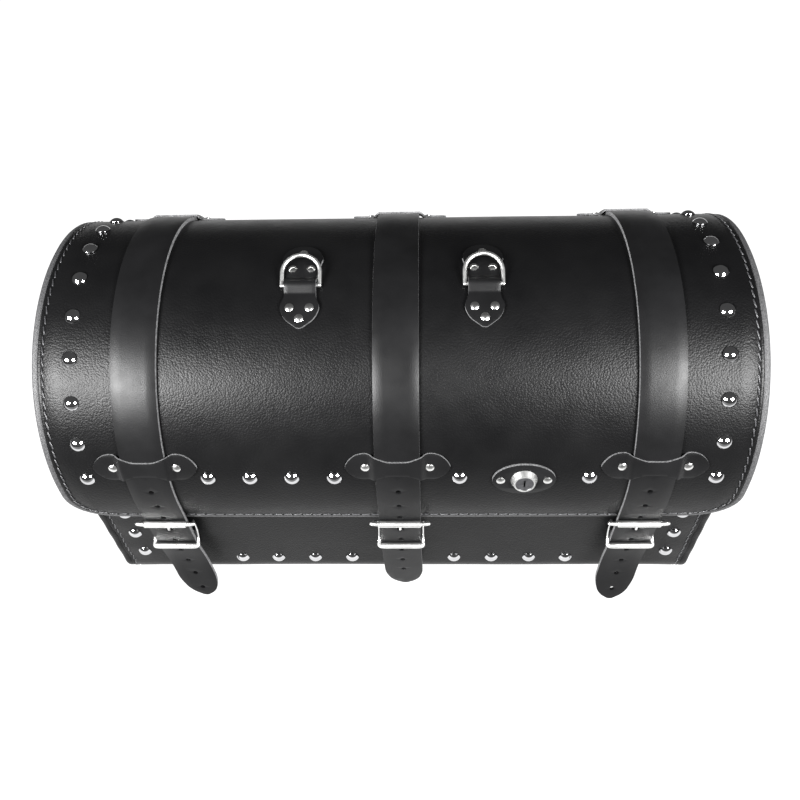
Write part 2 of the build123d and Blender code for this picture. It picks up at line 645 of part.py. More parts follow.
# ---------------------------------------------------------------- base and rack fixing
plate_low = leather + shell_wall + felt
rack_plate = Pos(0, base_middle, plate_low + rack_plate_thick / 2) * Box(
    2 * rack_plate_half_x, 2 * rack_plate_half_y, rack_plate_thick)
rack_points = [(sx * rack_bolt_x / 2, base_middle + sy * rack_bolt_y / 2) for sx in (-1, 1) for sy in (-1, 1)]
plate_high = plate_low + rack_plate_thick
bushes = [Pos(x, y, plate_high / 2) * Cylinder(eyelet_radius, plate_high) for x, y in rack_points]
bolt_holes = [Pos(x, y, plate_high / 2) * Cylinder(rack_bolt_radius, 2 * plate_high) for x, y in rack_points]

# ---------------------------------------------------------------- studs
side_studs = [lid_plane(sign * (lid_half - side_stud_inset), side_stud_first_phi + i * side_stud_step_phi)
              for sign in (-1, 1) for i in range(side_studs_per_side)]
front_studs = [lid_plane(x, side_stud_first_phi) for x in front_stud_places]
case_studs = [wall_plane(sign * (body_half - case_stud_inset), z) for sign in (-1, 1) for z in case_stud_heights]
bottom_studs = [wall_plane(x, bottom_stud_height) for x in bottom_stud_places]

# ---------------------------------------------------------------- riveted layers
lid_rivets = front_keeper_planes + back_keeper_planes
skin_holes = placed(lid_rivets, rivet_hole(keeper_leather + leather))
skin_holes += placed(tab_rivet_planes, rivet_hole(tab_leather + leather))
skin_holes += placed(strap_rivet_planes, rivet_hole(strap_thick + leather))
skin_holes += placed(lock_rivet_planes, rivet_hole(lock_plate_leather + leather))
skin_holes += placed(lid_hinge_planes, rivet_hole(hinge_grip))
wall_rivets = placed(receiver_rivet_planes, rivet_hole(receiver_flange + leather))
strike_holes = placed(strike_rivet_planes, rivet_hole(strike_thick + felt + shell_wall))

nodes["case_shell"] = case_shell - bushes - strike_holes
nodes["case_lining"] = case_lining - bushes - strike_holes
nodes["case_wrap"] = case_wrap - bushes - wall_rivets
nodes["back_board"] = back_board
nodes["back_panel"] = back_panel - placed(case_hinge_planes, rivet_hole(hinge_grip))
nodes["hinge_leaf_case"] = hinge_leaf_case - placed(case_hinge_planes, rivet_hole(hinge_grip))
nodes["hinge_leaf_lid"] = hinge_leaf_lid - placed(lid_hinge_planes, rivet_hole(hinge_grip))
nodes["hinge_rivets_case"] = Part() + placed(case_hinge_planes, rivet(hinge_grip))
nodes["hinge_rivets_lid"] = Part() + placed(lid_hinge_planes, rivet(hinge_grip))
nodes["rack_plate"] = rack_plate - bushes
nodes["rack_eyelets"] = Part() + bushes - bolt_holes
nodes["strike_plate"] = strike_plate
nodes["strike_rivets"] = Part() + placed(strike_rivet_planes, rivet(strike_thick + felt + shell_wall / 2))
nodes["receiver_rivets"] = Part() + placed(receiver_rivet_planes, rivet(receiver_flange + leather))
nodes["case_side_studs"] = Part() + placed(case_studs, stud())
nodes["case_bottom_studs"] = Part() + placed(bottom_studs, stud())
nodes["lid_skin"] = lid_skin - skin_holes - barrel_hole
nodes["lid_core"] = lid_core - barrel_hole
nodes["lid_lining"] = lid_lining - barrel_hole
nodes["lid_piping"] = lid_piping
nodes["lid_side_studs"] = Part() + placed(side_studs, stud())
nodes["lid_front_studs"] = Part() + placed(front_studs, stud())
nodes["keeper_rivets"] = Part() + placed(lid_rivets, rivet(keeper_leather + leather))
nodes["strap_rivets"] = Part() + placed(strap_rivet_planes, rivet(strap_thick + leather))
nodes["tab_rivets"] = Part() + placed(tab_rivet_planes, rivet(tab_leather + leather))
nodes["lock_plate"] = lock_plate
nodes["lock_plate_rivets"] = Part() + placed(lock_rivet_planes, rivet(lock_plate_leather + leather))
nodes["lock_body"] = lock_face * lock_body
nodes["lock_nut"] = lock_face * lock_nut
nodes["lock_plug"] = lock_face * lock_plug
nodes["lock_cam"] = lock_face * lock_cam

for name, shape in nodes.items():
    export_step(shape, f"parts/{name}.step")
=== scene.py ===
from math import asin, atan2, cos, degrees, pi, radians, sin, sqrt, tan

import bpy
from mathutils import Matrix, Vector, noise


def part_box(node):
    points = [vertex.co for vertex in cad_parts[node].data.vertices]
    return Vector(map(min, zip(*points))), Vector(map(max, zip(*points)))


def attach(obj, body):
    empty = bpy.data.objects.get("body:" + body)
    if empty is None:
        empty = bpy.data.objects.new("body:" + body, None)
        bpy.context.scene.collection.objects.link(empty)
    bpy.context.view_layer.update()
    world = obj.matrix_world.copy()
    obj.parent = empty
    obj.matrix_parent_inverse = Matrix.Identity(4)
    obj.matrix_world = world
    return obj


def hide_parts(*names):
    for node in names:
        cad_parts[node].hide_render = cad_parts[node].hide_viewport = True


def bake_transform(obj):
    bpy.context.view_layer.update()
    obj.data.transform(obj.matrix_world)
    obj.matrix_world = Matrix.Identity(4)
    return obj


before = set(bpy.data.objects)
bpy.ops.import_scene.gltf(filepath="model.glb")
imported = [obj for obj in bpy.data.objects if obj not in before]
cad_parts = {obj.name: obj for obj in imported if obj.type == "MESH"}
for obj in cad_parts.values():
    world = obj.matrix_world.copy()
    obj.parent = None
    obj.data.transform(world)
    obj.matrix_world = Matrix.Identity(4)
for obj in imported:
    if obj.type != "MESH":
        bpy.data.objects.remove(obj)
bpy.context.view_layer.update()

# ---------------------------------------------------------------- camera and studio
# The bag stands on a table that glows as painted light, and towards the front its glow and grey fade to
# painted shade. Two softboxes hang above it in front, one on each side of the camera, which looks down on
# the bag from the front.
camera_place = Vector((0.02499, -0.57857, 0.76116))
camera_yaw = radians(-2.728)
camera_pitch = radians(47.121)
camera_roll = radians(-2.343)
camera_focus = 818.5 / 800

flat_part = cos(camera_pitch)
ahead = Vector((sin(camera_yaw) * flat_part, cos(camera_yaw) * flat_part, -sin(camera_pitch)))
level = Vector((cos(camera_yaw), -sin(camera_yaw), 0))
above = level.cross(ahead)
rightwards = level * cos(camera_roll) + above * sin(camera_roll)
upwards = above * cos(camera_roll) - level * sin(camera_roll)
bpy.ops.object.select_all(action="DESELECT")
bpy.ops.object.camera_add()
camera = bpy.context.object
camera.name = "view_camera"
camera.data.sensor_width = 36
camera.data.lens = 36 * camera_focus
camera.data.clip_start = 0.01
turn = Matrix((rightwards, upwards, -ahead)).transposed().to_4x4()
camera.matrix_world = Matrix.Translation(camera_place) @ turn
bpy.context.scene.camera = camera
bpy.context.scene.view_settings.view_transform = "Standard"


def softbox(name, place, aim, width, height, watts):
    """Rectangular studio lamp that faces a point."""
    bpy.ops.object.light_add(type="AREA", location=place)
    lamp = bpy.context.object
    lamp.name = name
    lamp.data.shape = "RECTANGLE"
    lamp.data.size = width
    lamp.data.size_y = height
    lamp.data.energy = watts
    lamp.rotation_euler = (Vector(aim) - Vector(place)).to_track_quat("-Z", "Y").to_euler()


softbox("softbox_left", (-1.0, -1.08, 1.04), (-0.1, 0, 0.25), 0.85, 0.6, 165)
softbox("softbox_right", (1.0, -1.05, 1.04), (0.1, 0, 0.25), 0.72, 0.6, 130)


def shader(name, roughness, metallic=0.0, specular=0.5):
    """New material with the constant values of its shader set."""
    made = bpy.data.materials.new(name)
    made.use_nodes = True
    surface = made.node_tree.nodes["Principled BSDF"]
    surface.inputs["Roughness"].default_value = roughness
    surface.inputs["Metallic"].default_value = metallic
    surface.inputs["Specular IOR Level"].default_value = specular
    return made


def texture(made, kind, scale, stretch=(1, 1, 1), **settings):
    """Texture of a material in the piece's own coordinates, with this many cells to a metre."""
    nodes, links = made.node_tree.nodes, made.node_tree.links
    place = nodes.new("ShaderNodeTexCoord")
    mapping = nodes.new("ShaderNodeMapping")
    mapping.inputs["Scale"].default_value = stretch
    pattern = nodes.new(kind)
    pattern.inputs["Scale"].default_value = scale
    for key, value in settings.items():
        pattern.inputs[key].default_value = value
    links.new(place.outputs["Object"], mapping.inputs["Vector"])
    links.new(mapping.outputs["Vector"], pattern.inputs["Vector"])
    return pattern.outputs[0]


def grain(made, scale, detail=2.0, stretch=(1, 1, 1)):
    """Soft noise."""
    return texture(made, "ShaderNodeTexNoise", scale, stretch, Detail=detail)


def cells(made, scale):
    """Rounded cells, such as the pebbles of leather."""
    return texture(made, "ShaderNodeTexVoronoi", scale)


def tint(made, pattern, dark, light):
    """Colours a material between two tones by a pattern."""
    nodes, links = made.node_tree.nodes, made.node_tree.links
    ramp = nodes.new("ShaderNodeValToRGB")
    ramp.color_ramp.elements[0].position = 0.3
    ramp.color_ramp.elements[1].position = 0.7
    ramp.color_ramp.elements[0].color = (*dark, 1)
    ramp.color_ramp.elements[1].color = (*light, 1)
    links.new(pattern, ramp.inputs["Fac"])
    links.new(ramp.outputs["Color"], nodes["Principled BSDF"].inputs["Base Color"])


def gloss(made, pattern, smooth, rough):
    """Varies a material's roughness by a pattern."""
    nodes, links = made.node_tree.nodes, made.node_tree.links
    spread = nodes.new("ShaderNodeMapRange")
    spread.inputs["To Min"].default_value = smooth
    spread.inputs["To Max"].default_value = rough
    links.new(pattern, spread.inputs["Value"])
    links.new(spread.outputs["Result"], nodes["Principled BSDF"].inputs["Roughness"])


def relief(made, pattern, depth, strength=1.0, sunk=False):
    """Adds a fine relief to a material, on top of any that it has."""
    nodes, links = made.node_tree.nodes, made.node_tree.links
    bump = nodes.new("ShaderNodeBump")
    bump.invert = sunk
    bump.inputs["Strength"].default_value = strength
    bump.inputs["Distance"].default_value = depth
    normal = nodes["Principled BSDF"].inputs["Normal"]
    if normal.is_linked:
        links.new(normal.links[0].from_socket, bump.inputs["Normal"])
    links.new(pattern, bump.inputs["Height"])
    links.new(bump.outputs["Normal"], normal)


table = shader("white_table", 0.8, specular=0.2)
# painted light: the table glows though it is no lamp. Towards its front edge its glow and its grey fade to
# painted shade, which darkens what the leather reflects.
table_glow = 0.99  # light that the table gives, where it isn't faded
table_pale = 0.06  # grey of its surface there
painted_shade_grey = 0.03  # grey of its surface in front of that
glow_full = -0.34
glow_gone = -0.46
world_light = 0.1


def along_table(near, far):
    """Value that fades from the far part of the table to its front edge."""
    nodes, links = table.node_tree.nodes, table.node_tree.links
    place = nodes.new("ShaderNodeTexCoord")
    parts = nodes.new("ShaderNodeSeparateXYZ")
    fade = nodes.new("ShaderNodeMapRange")
    fade.inputs["From Min"].default_value = glow_gone
    fade.inputs["From Max"].default_value = glow_full
    fade.inputs["To Min"].default_value = near
    fade.inputs["To Max"].default_value = far
    links.new(place.outputs["Object"], parts.inputs[0])
    links.new(parts.outputs["Y"], fade.inputs["Value"])
    return fade.outputs["Result"]


table_surface = table.node_tree.nodes["Principled BSDF"]
table_surface.inputs["Emission Color"].default_value = (1, 1, 1, 1)
# painted light and painted shade: the table's glow and its grey both fade towards its front edge
table.node_tree.links.new(along_table(0, table_glow), table_surface.inputs["Emission Strength"])
table.node_tree.links.new(along_table(painted_shade_grey, table_pale), table_surface.inputs["Base Color"])
bpy.ops.mesh.primitive_plane_add(size=9)
floor = bpy.context.object
floor.name = "floor"
floor.data.materials.append(table)
world = bpy.data.worlds.new("studio")
world.use_nodes = True
world.node_tree.nodes["Background"].inputs["Color"].default_value = (1, 1, 1, 1)
world.node_tree.nodes["Background"].inputs["Strength"].default_value = world_light
bpy.context.scene.world = world

# ---------------------------------------------------------------- moulded shell
# The case keeps its box shape by a black moulded shell with a board glued up its back, and a thin
# moulded sheet stiffens the lid. All three have the fine matt grain of their moulds.
def finish_node(material, slot, *names):
    """Gives CAD pieces whose shape stays their material."""
    for name in names:
        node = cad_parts[name]
        if not node.material_slots:
            node.data.materials.append(material)
        for place in node.material_slots:
            place.material = material


moulding = shader("black_moulding", 0.5)
tint(moulding, grain(moulding, 40), (0.012, 0.012, 0.013), (0.02, 0.02, 0.021))
relief(moulding, grain(moulding, 1500, 3), 0.0001, 0.5)
gloss(moulding, grain(moulding, 120), 0.4, 0.6)
finish_node(moulding, "moulded_shell", "case_shell", "back_board", "lid_core")

# ---------------------------------------------------------------- felt lining
# Grey-black needle felt is glued inside the case and the lid. Its short fibres lie every way.
felt = shader("dark_felt", 0.95, specular=0.15)
felt_surface = felt.node_tree.nodes["Principled BSDF"]
felt_surface.inputs["Sheen Weight"].default_value = 0.4
felt_surface.inputs["Sheen Roughness"].default_value = 0.5
tint(felt, grain(felt, 900, 6), (0.018, 0.018, 0.02), (0.06, 0.06, 0.064))
relief(felt, grain(felt, 1400, 8, (1, 3, 1)), 0.0005, 0.7)
finish_node(felt, "felt_lining", "case_lining", "lid_lining")

# ---------------------------------------------------------------- case leather
# One wrap of thick black leather with a fine pebble grain runs down the front, under the base and
# up the back. It is stitched down both sides, next to the rolled edges of the end panels.
leather = shader("black_grained_leather", 0.36, specular=0.1)
tint(leather, grain(leather, 14, 4), (0.0012, 0.0012, 0.0013), (0.0023, 0.0023, 0.0024))
gloss(leather, grain(leather, 55, 3), 0.3, 0.42)
relief(leather, cells(leather, 620), 0.0003, 0.5, sunk=True)
relief(leather, grain(leather, 1700, 2), 0.00015, 0.4)
relief(leather, grain(leather, 28, 3), 0.0012, 0.25)

raw_edge = shader("raw_leather_edge", 0.75, specular=0.3)
tint(raw_edge, grain(raw_edge, 700, 5), (0.03, 0.03, 0.031), (0.12, 0.12, 0.122))
relief(raw_edge, grain(raw_edge, 1500, 5, (1, 1, 0.3)), 0.0003, 0.7)

thread = shader("black_waxed_thread", 0.35)
tint(thread, grain(thread, 500), (0.012, 0.012, 0.013), (0.035, 0.035, 0.037))
relief(thread, texture(thread, "ShaderNodeTexWave", 900), 0.0002, 0.8)

leather_thick = 0.003
wall_lean = radians(4)
base_front = 0.1235
front_corner = 0.030
back_corner = 0.012
shoulder = 0.045
round_top = 0.143
lid_radius = -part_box("lid_skin")[0].y
axis_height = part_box("lid_skin")[1].z - lid_radius
rim_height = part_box("case_wrap")[1].z
seam_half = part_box("case_wrap")[1].x
body_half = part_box("end_roll_right")[1].x


def walk(start, heading, steps):
    """Path in a plane, as straight and round steps of (length, turn): gives place and heading."""
    def at(s):
        spot, way = Vector(start), heading
        for number, (length, turned) in enumerate(steps):
            part = s if number == len(steps) - 1 else min(max(s, 0), length)
            bend = turned / length * part
            if abs(turned) < 1e-9:
                spot = spot + Vector((cos(way), sin(way))) * part
            else:
                radius = length / turned
                spot = spot + Vector((sin(way + bend) - sin(way), cos(way) - cos(way + bend))) * radius
            way += bend
            s -= part
            if s <= 1e-12:
                break
        return spot, way
    return at


def bent(piece, place):
    """Moves a flat piece onto a curved surface. Its x, y and z are across, along and out."""
    for vertex in piece.data.vertices:
        vertex.co = place(*vertex.co)
    piece.data.update()
    return piece


def on_path(path):
    """Place on a surface that follows a path in the plane of the ends, pressed flat under the base."""
    def place(x, s, h):
        spot, way = path(s)
        return Vector((x, spot.x + h * sin(way), max(spot.y - h * cos(way), 0)))
    return place


def cut_flat(name, corners):
    """Flat leather cut to an outline: a filled ring with one point for each corner."""
    bpy.ops.object.select_all(action="DESELECT")
    bpy.ops.mesh.primitive_circle_add(vertices=len(corners), radius=0.01, fill_type="NGON")
    piece = bpy.context.object
    piece.name = name
    piece.data.name = name
    for vertex, corner in zip(piece.data.vertices, corners):
        vertex.co = (*corner, 0)
    return piece


def editing(piece, mode="FACE"):
    """Goes into edit mode on one piece."""
    bpy.ops.object.select_all(action="DESELECT")
    bpy.context.view_layer.objects.active = piece
    piece.select_set(True)
    bpy.ops.object.mode_set(mode="EDIT")
    bpy.ops.mesh.select_mode(type=mode)


def done():
    bpy.ops.object.mode_set(mode="OBJECT")


def pick(piece, kind, wanted):
    """Selects a piece's points or faces by a test, and goes into edit mode."""
    editing(piece, kind)
    bpy.ops.mesh.select_all(action="DESELECT")
    done()
    for item in (piece.data.vertices if kind == "VERT" else piece.data.polygons):
        item.select = bool(wanted(item))
    bpy.ops.object.mode_set(mode="EDIT")


def round_corners(piece, wanted, size, steps=6):
    """Rounds the corners of a flat piece that pass a test."""
    pick(piece, "VERT", lambda v: wanted(v.co.x, v.co.y))
    bpy.ops.mesh.bevel(offset=size, segments=steps, affect="VERTICES")
    done()


def cut_lines(piece, direction, first, last, step):
    """Cuts a piece across a direction at even distances, so that it can bend."""
    editing(piece)
    count = max(int(round((last - first) / step)), 1)
    for number in range(1, count):
        bpy.ops.mesh.select_all(action="SELECT")
        spot = Vector(direction) * (first + (last - first) * number / count)
        bpy.ops.mesh.bisect(plane_co=spot, plane_no=direction)
    done()


def cut_grid(piece, half, across, low, high, along):
    """Cuts a piece both ways: across it, and then along it."""
    cut_lines(piece, (1, 0, 0), -half, half, across)
    cut_lines(piece, (0, 1, 0), low, high, along)


def modified(piece, kind, **settings):
    """Adds one modifier and applies it."""
    bpy.ops.object.select_all(action="DESELECT")
    bpy.context.view_layer.objects.active = piece
    piece.select_set(True)
    change = piece.modifiers.new(kind.lower(), kind)
    for key, value in settings.items():
        setattr(change, key, value)
    bpy.ops.object.modifier_apply(modifier=change.name)
    return piece


def thicken(piece, thickness):
    """Gives a flat piece its thickness, downwards from the plane that it was cut in."""
    for face in piece.data.polygons[:1]:
        if face.normal.z < 0:
            editing(piece)
            bpy.ops.mesh.select_all(action="SELECT")
            bpy.ops.mesh.flip_normals()
            done()
    return modified(piece, "SOLIDIFY", thickness=thickness, offset=-1)


def soften(piece, width):
    """Rounds a piece's sharp edges."""
    limit = radians(50)
    return modified(piece, "BEVEL", width=width, segments=2, limit_method="ANGLE", angle_limit=limit)


def edges_raw(piece, face, edge):
    """Face material on a flat piece, and edge material on its cut sides."""
    piece.data.materials.append(face)
    piece.data.materials.append(edge)
    for polygon in piece.data.polygons:
        polygon.material_index = int(abs(polygon.normal.z) < 0.5)


def tidy(piece, angle=40):
    """Merges doubles, turns all faces outwards and smooths what isn't an edge."""
    editing(piece, "VERT")
    bpy.ops.mesh.select_all(action="SELECT")
    bpy.ops.mesh.remove_doubles(threshold=0.000005)
    bpy.ops.mesh.normals_make_consistent(inside=False)
    done()
    bpy.ops.object.shade_smooth_by_angle(angle=radians(angle))
    return piece


def sewn(name, pieces):
    """Joins meshes into one piece."""
    bpy.ops.object.select_all(action="DESELECT")
    for piece in pieces:
        piece.select_set(True)
    bpy.context.view_layer.objects.active = pieces[0]
    bpy.ops.object.join()
    joined = bpy.context.object
    joined.name = name
    joined.data.name = name
    return joined


def copies(name, pattern, places):
    """One piece made of copies of a pattern, one at each place. The pattern itself goes."""
    made = []
    for place in places:
        copy = pattern.copy()
        copy.data = pattern.data.copy()
        copy.data.transform(place)
        bpy.context.collection.objects.link(copy)
        made.append(copy)
    bpy.data.objects.remove(pattern)
    return sewn(name, made)


def ready(piece, body, slot, *nodes):
    """Hands a finished piece over: the body that it rides on, and what it stands for. Its finish slot is not
    used.
    """
    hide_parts(*nodes)
    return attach(piece, body)


# The outline of the case, from the front of its rim down, under the base, up the back and over
# the round top of the end panels.
corner_back_off = front_corner / tan((pi / 2 + wall_lean) / 2)
reach = shoulder - base_front * cos(wall_lean) - axis_height * sin(wall_lean)
climb = sqrt((round_top - shoulder) ** 2 - reach ** 2)
shoulder_middle = Matrix.Rotation(wall_lean, 2) @ Vector((reach, climb))
shoulder_turn = pi - wall_lean - atan2(shoulder_middle.y, shoulder_middle.x)
shoulder_height = axis_height + shoulder_middle.y - shoulder * sin(wall_lean)
front_wall = rim_height / cos(wall_lean) - corner_back_off
base_length = round_top - back_corner + base_front - corner_back_off
back_wall = rim_height - back_corner
wrap_steps = [(front_wall, 0), (front_corner * (pi / 2 - wall_lean), pi / 2 - wall_lean), (base_length, 0),
              (back_corner * pi / 2, pi / 2), (back_wall, 0)]
wrap_length = sum(length for length, turned in wrap_steps)
wall_start = (-base_front - rim_height * tan(wall_lean), rim_height)
wrap_path = walk(wall_start, -pi / 2 + wall_lean, wrap_steps)
top_turn = pi - shoulder_turn - wall_lean
end_steps = wrap_steps[:4] + [(axis_height - back_corner, 0), (round_top * top_turn, top_turn),
                              (shoulder * shoulder_turn, shoulder_turn),
                              ((shoulder_height - rim_height) / cos(wall_lean), 0)]
end_length = sum(length for length, turned in end_steps)
end_path = walk(wall_start, -pi / 2 + wall_lean, end_steps)
seam_line = seam_half - 0.0035
groove_half = 0.0014
groove_deep = 0.0007


def dented(x, line, half, deep):
    """Depth of a groove that the stitches pull into the leather."""
    return -deep * max(1 - (abs(x) - line) ** 2 / half ** 2, 0)


def wrap_place(x, s, h):
    slack = 0.0006 * noise.noise(Vector((x * 9, s * 14, 1.7))) * min(1, max(0, s - 0.02) / 0.05)
    ripple = 0.0005 * sin(s * 2 * pi / 0.043 + 1.3) * max(0, 1 - (seam_half - abs(x)) / 0.02)
    shift = dented(x, seam_line, 2 * groove_half, groove_deep) + (slack + ripple if h > -0.001 else 0)
    return on_path(wrap_path)(x, s, h + shift)


def rectangle(half, low, high):
    return [(-half, low), (half, low), (half, high), (-half, high)]


wrap = cut_flat("case_leather", rectangle(seam_half, 0, wrap_length))
cut_lines(wrap, (1, 0, 0), -seam_half, seam_half, 0.028)
for sign in (-1, 1):
    for offset in (-2, -1, 0, 1, 2):
        editing(wrap)
        bpy.ops.mesh.select_all(action="SELECT")
        groove_line = sign * (seam_line + offset * groove_half)
        bpy.ops.mesh.bisect(plane_co=(groove_line, 0, 0), plane_no=(1, 0, 0))
        done()
cut_lines(wrap, (0, 1, 0), 0, wrap_length, 0.0045)
thicken(wrap, leather_thick)
wrap.data.materials.append(leather)
soften(wrap, 0.0006)
bent(wrap, wrap_place)
tidy(wrap)
ready(wrap, "case", "body_leather", "case_wrap")

# ---------------------------------------------------------------- stitches
# Black waxed thread, sewn as lockstitch, one stitch every 9 mm. A stitch is a short fat strand that
# dips into the leather at both ends.
stitch_pitch = 0.009
stitch_long = 0.0078
stitch_lean = radians(11)
stitch_thick = 0.0014


def one_stitch():
    """A single strand along its own x, with its ends pushed down."""
    bpy.ops.object.select_all(action="DESELECT")
    lying = (0, pi / 2, 0)
    bpy.ops.mesh.primitive_uv_sphere_add(segments=6, ring_count=6, radius=stitch_thick / 2, rotation=lying)
    bpy.ops.object.transform_apply(location=False, rotation=True, scale=False)
    strand = bpy.context.object
    for vertex in strand.data.vertices:
        end = (vertex.co.x > 0) - (vertex.co.x < 0)
        vertex.co.x += (stitch_long - stitch_thick) / 2 * end
        vertex.co.z += 0.00035 - 0.0006 * abs(vertex.co.x / stitch_long * 2) ** 3
    return strand


def seam(name, path, length, place):
    """Row of stitches along a flat path, bent onto the piece that they hold."""
    count = int(length / stitch_pitch)
    spots = []
    for number in range(count):
        spot, way = path((number + 0.5) * length / count)
        lean = Matrix.Rotation(way + stitch_lean, 4, "Z")
        spots.append(Matrix.Translation((spot.x, spot.y, 0)) @ lean)
    row = copies(name, one_stitch(), spots)
    row.data.materials.append(thread)
    bent(row, place)
    return tidy(row, 60)


rows = []
for sign in (-1, 1):
    side_path = walk((sign * seam_line, 0.004), pi / 2, [(wrap_length - 0.008, 0)])
    rows.append(seam("case_seam", side_path, wrap_length - 0.008, wrap_place))
ready(sewn("case_stitches", rows), "case", "body_leather")

# ---------------------------------------------------------------- end panels and their rolled edges
# Each end is a D of leather inside a rolled edge. The roll is a soft round bead that runs all
# round the D, under the lid as well.
seam_inset = 0.0035
panel_middle = 0.16
roll_width = body_half - seam_half
end_points = 120


def grooved(piece):
    """Sinks a channel for the stitches, at the seam's distance from a flat piece's edge."""
    editing(piece)
    bpy.ops.mesh.select_all(action="SELECT")
    bpy.ops.mesh.inset(thickness=seam_inset - groove_half)
    bpy.ops.mesh.inset(thickness=groove_half)
    bpy.ops.transform.translate(value=(0, 0, -groove_deep))
    bpy.ops.mesh.inset(thickness=groove_half)
    bpy.ops.transform.translate(value=(0, 0, groove_deep))
    done()
    return piece


for side, sign in (("left", -1), ("right", 1)):
    roll_outline = [(0, 0), (roll_width, 0), (roll_width, end_length), (0, end_length)]
    roll = cut_flat("rolled_edge_" + side, roll_outline)
    cut_lines(roll, (1, 0, 0), 0, roll_width, roll_width / 8)
    cut_lines(roll, (0, 1, 0), 0, end_length, 0.0045)
    thicken(roll, leather_thick)

    def roll_place(across, s, h):
        share = across / roll_width * 2 - 1
        crown = 0.0011 * sqrt(max(1 - share ** 2, 0)) - 0.0012 * max(share, 0) ** 3 - 0.0005
        wave = 0.0003 * sin(s * 2 * pi / 0.031)
        return on_path(end_path)(sign * (seam_half + across), s, h + (crown + wave if h > -0.001 else 0))
    bent(roll, roll_place)
    roll.data.materials.append(leather)
    tidy(roll)
    ready(roll, "case", "body_leather", "end_roll_" + side)

    outline = []
    inward = leather_thick + 0.0002
    for number in range(end_points):
        spot, way = end_path(number * end_length / end_points)
        outline.append((spot.x - inward * sin(way), spot.y + inward * cos(way)))
    panel = cut_flat("end_leather_" + side, outline)
    grooved(panel)
    cut_grid(panel, round_top, 0.012, 0, axis_height + round_top, 0.012)
    thicken(panel, leather_thick)

    def panel_place(y, z, h):
        off = Vector((y, z - panel_middle)).length / panel_middle
        puff = 0.0012 * max(0, 1 - off ** 2) if h > -0.001 else 0
        return Vector((sign * (body_half - 0.0008 + h + puff), y, z))
    bent(panel, panel_place)
    panel.data.materials.append(leather)
    tidy(panel)
    ready(panel, "case", "body_leather", "end_panel_" + side)

# ---------------------------------------------------------------- back panel
# A flat leather panel covers the board on the back. It is stitched all round near its edge.
back_low, back_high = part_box("back_panel")
back_half = back_high.x
back_tall = back_high.z - back_low.z
back_face = back_high.y


def back_place(x, up, h):
    """The x is turned round, because the panel faces away from the front."""
    return Vector((-x, back_face + h, back_low.z + up))


back = cut_flat("back_leather", rectangle(back_half, 0, back_tall))
round_corners(back, lambda x, y: y < 0.001, 0.006)
grooved(back)
cut_grid(back, back_half, 0.03, 0, back_tall, 0.02)
thicken(back, leather_thick)
soften(back, 0.0005)
back.data.materials.append(leather)
bent(back, back_place)
tidy(back)
ready(back, "case", "body_leather", "back_panel")
inner = back_half - seam_inset
back_edges = [(2 * inner, 0), (0.0001, pi / 2), (back_tall - 2 * seam_inset, 0), (0.0001, pi / 2),
              (2 * inner, 0), (0.0001, pi / 2), (back_tall - 2 * seam_inset, 0)]
round_back = walk((-inner, seam_inset), 0, back_edges)
back_round = sum(length for length, turned in back_edges)
ready(seam("back_stitches", round_back, back_round, back_place), "case", "body_leather")

# ---------------------------------------------------------------- lid leather
# The lid is one sheet of the same leather, moulded to a half round. Its front corners are round,
# its front edge hangs a little lower in the middle, and a seam runs round it inside the piping.
lid_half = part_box("lid_skin")[1].x
lid_front = radians(-16.5) * lid_radius
lid_back = radians(177.7) * lid_radius
lid_corner = 0.036
front_sag = 0.0035
sag_reach = 0.07
side_bulge = 0.0014


def on_lid(x, s, h):
    """Place on the lid: s is measured up its curve from the height of its axis."""
    turned = s / lid_radius
    return Vector((x, -(lid_radius + h) * cos(turned), axis_height + (lid_radius + h) * sin(turned)))


def lid_sag(x, s):
    """How far the lid's front edge hangs down."""
    near = max(0, 1 - (s - lid_front) / sag_reach)
    return front_sag * near ** 2 * (1 - (x / lid_half) ** 2)


def lid_bulge(x, s):
    """How far the lid's ends stand out between its front edge and its top."""
    return side_bulge * sin(min(max(s / lid_radius, 0), pi / 2) * 2) * (x / lid_half) ** 3


def lid_place(x, s, h):
    slack = 0.0007 * noise.noise(Vector((x * 7, s * 9, 4.2))) if h > -0.0015 else 0
    edge = min(1, max(0, (lid_half - abs(x)) / 0.03))
    return on_lid(x + lid_bulge(x, s), s - lid_sag(x, s), h + slack * edge)


lid = cut_flat("lid_leather", rectangle(lid_half, lid_front, lid_back))
round_corners(lid, lambda x, y: y < lid_front + 0.001, lid_corner, 12)
grooved(lid)
cut_grid(lid, lid_half, 0.018, lid_front, lid_back, 0.006)
thicken(lid, leather_thick)
edges_raw(lid, leather, raw_edge)
soften(lid, 0.0007)
bent(lid, lid_place)
tidy(lid)
ready(lid, "lid", "body_leather", "lid_skin")


def lid_edge(inset):
    """Path round the lid's edge at a distance inside it, from back to back, and its length."""
    run = lid_back - lid_front - lid_corner
    bend = lid_corner - inset
    corner = (bend * pi / 2, pi / 2)
    steps = [(run, 0), corner, (2 * (lid_half - lid_corner), 0), corner, (run, 0)]
    return walk((-lid_half + inset, lid_back), -pi / 2, steps), sum(length for length, turned in steps)


seam_path, seam_length = lid_edge(seam_inset)
ready(seam("lid_stitches", seam_path, seam_length, lid_place), "lid", "body_leather")

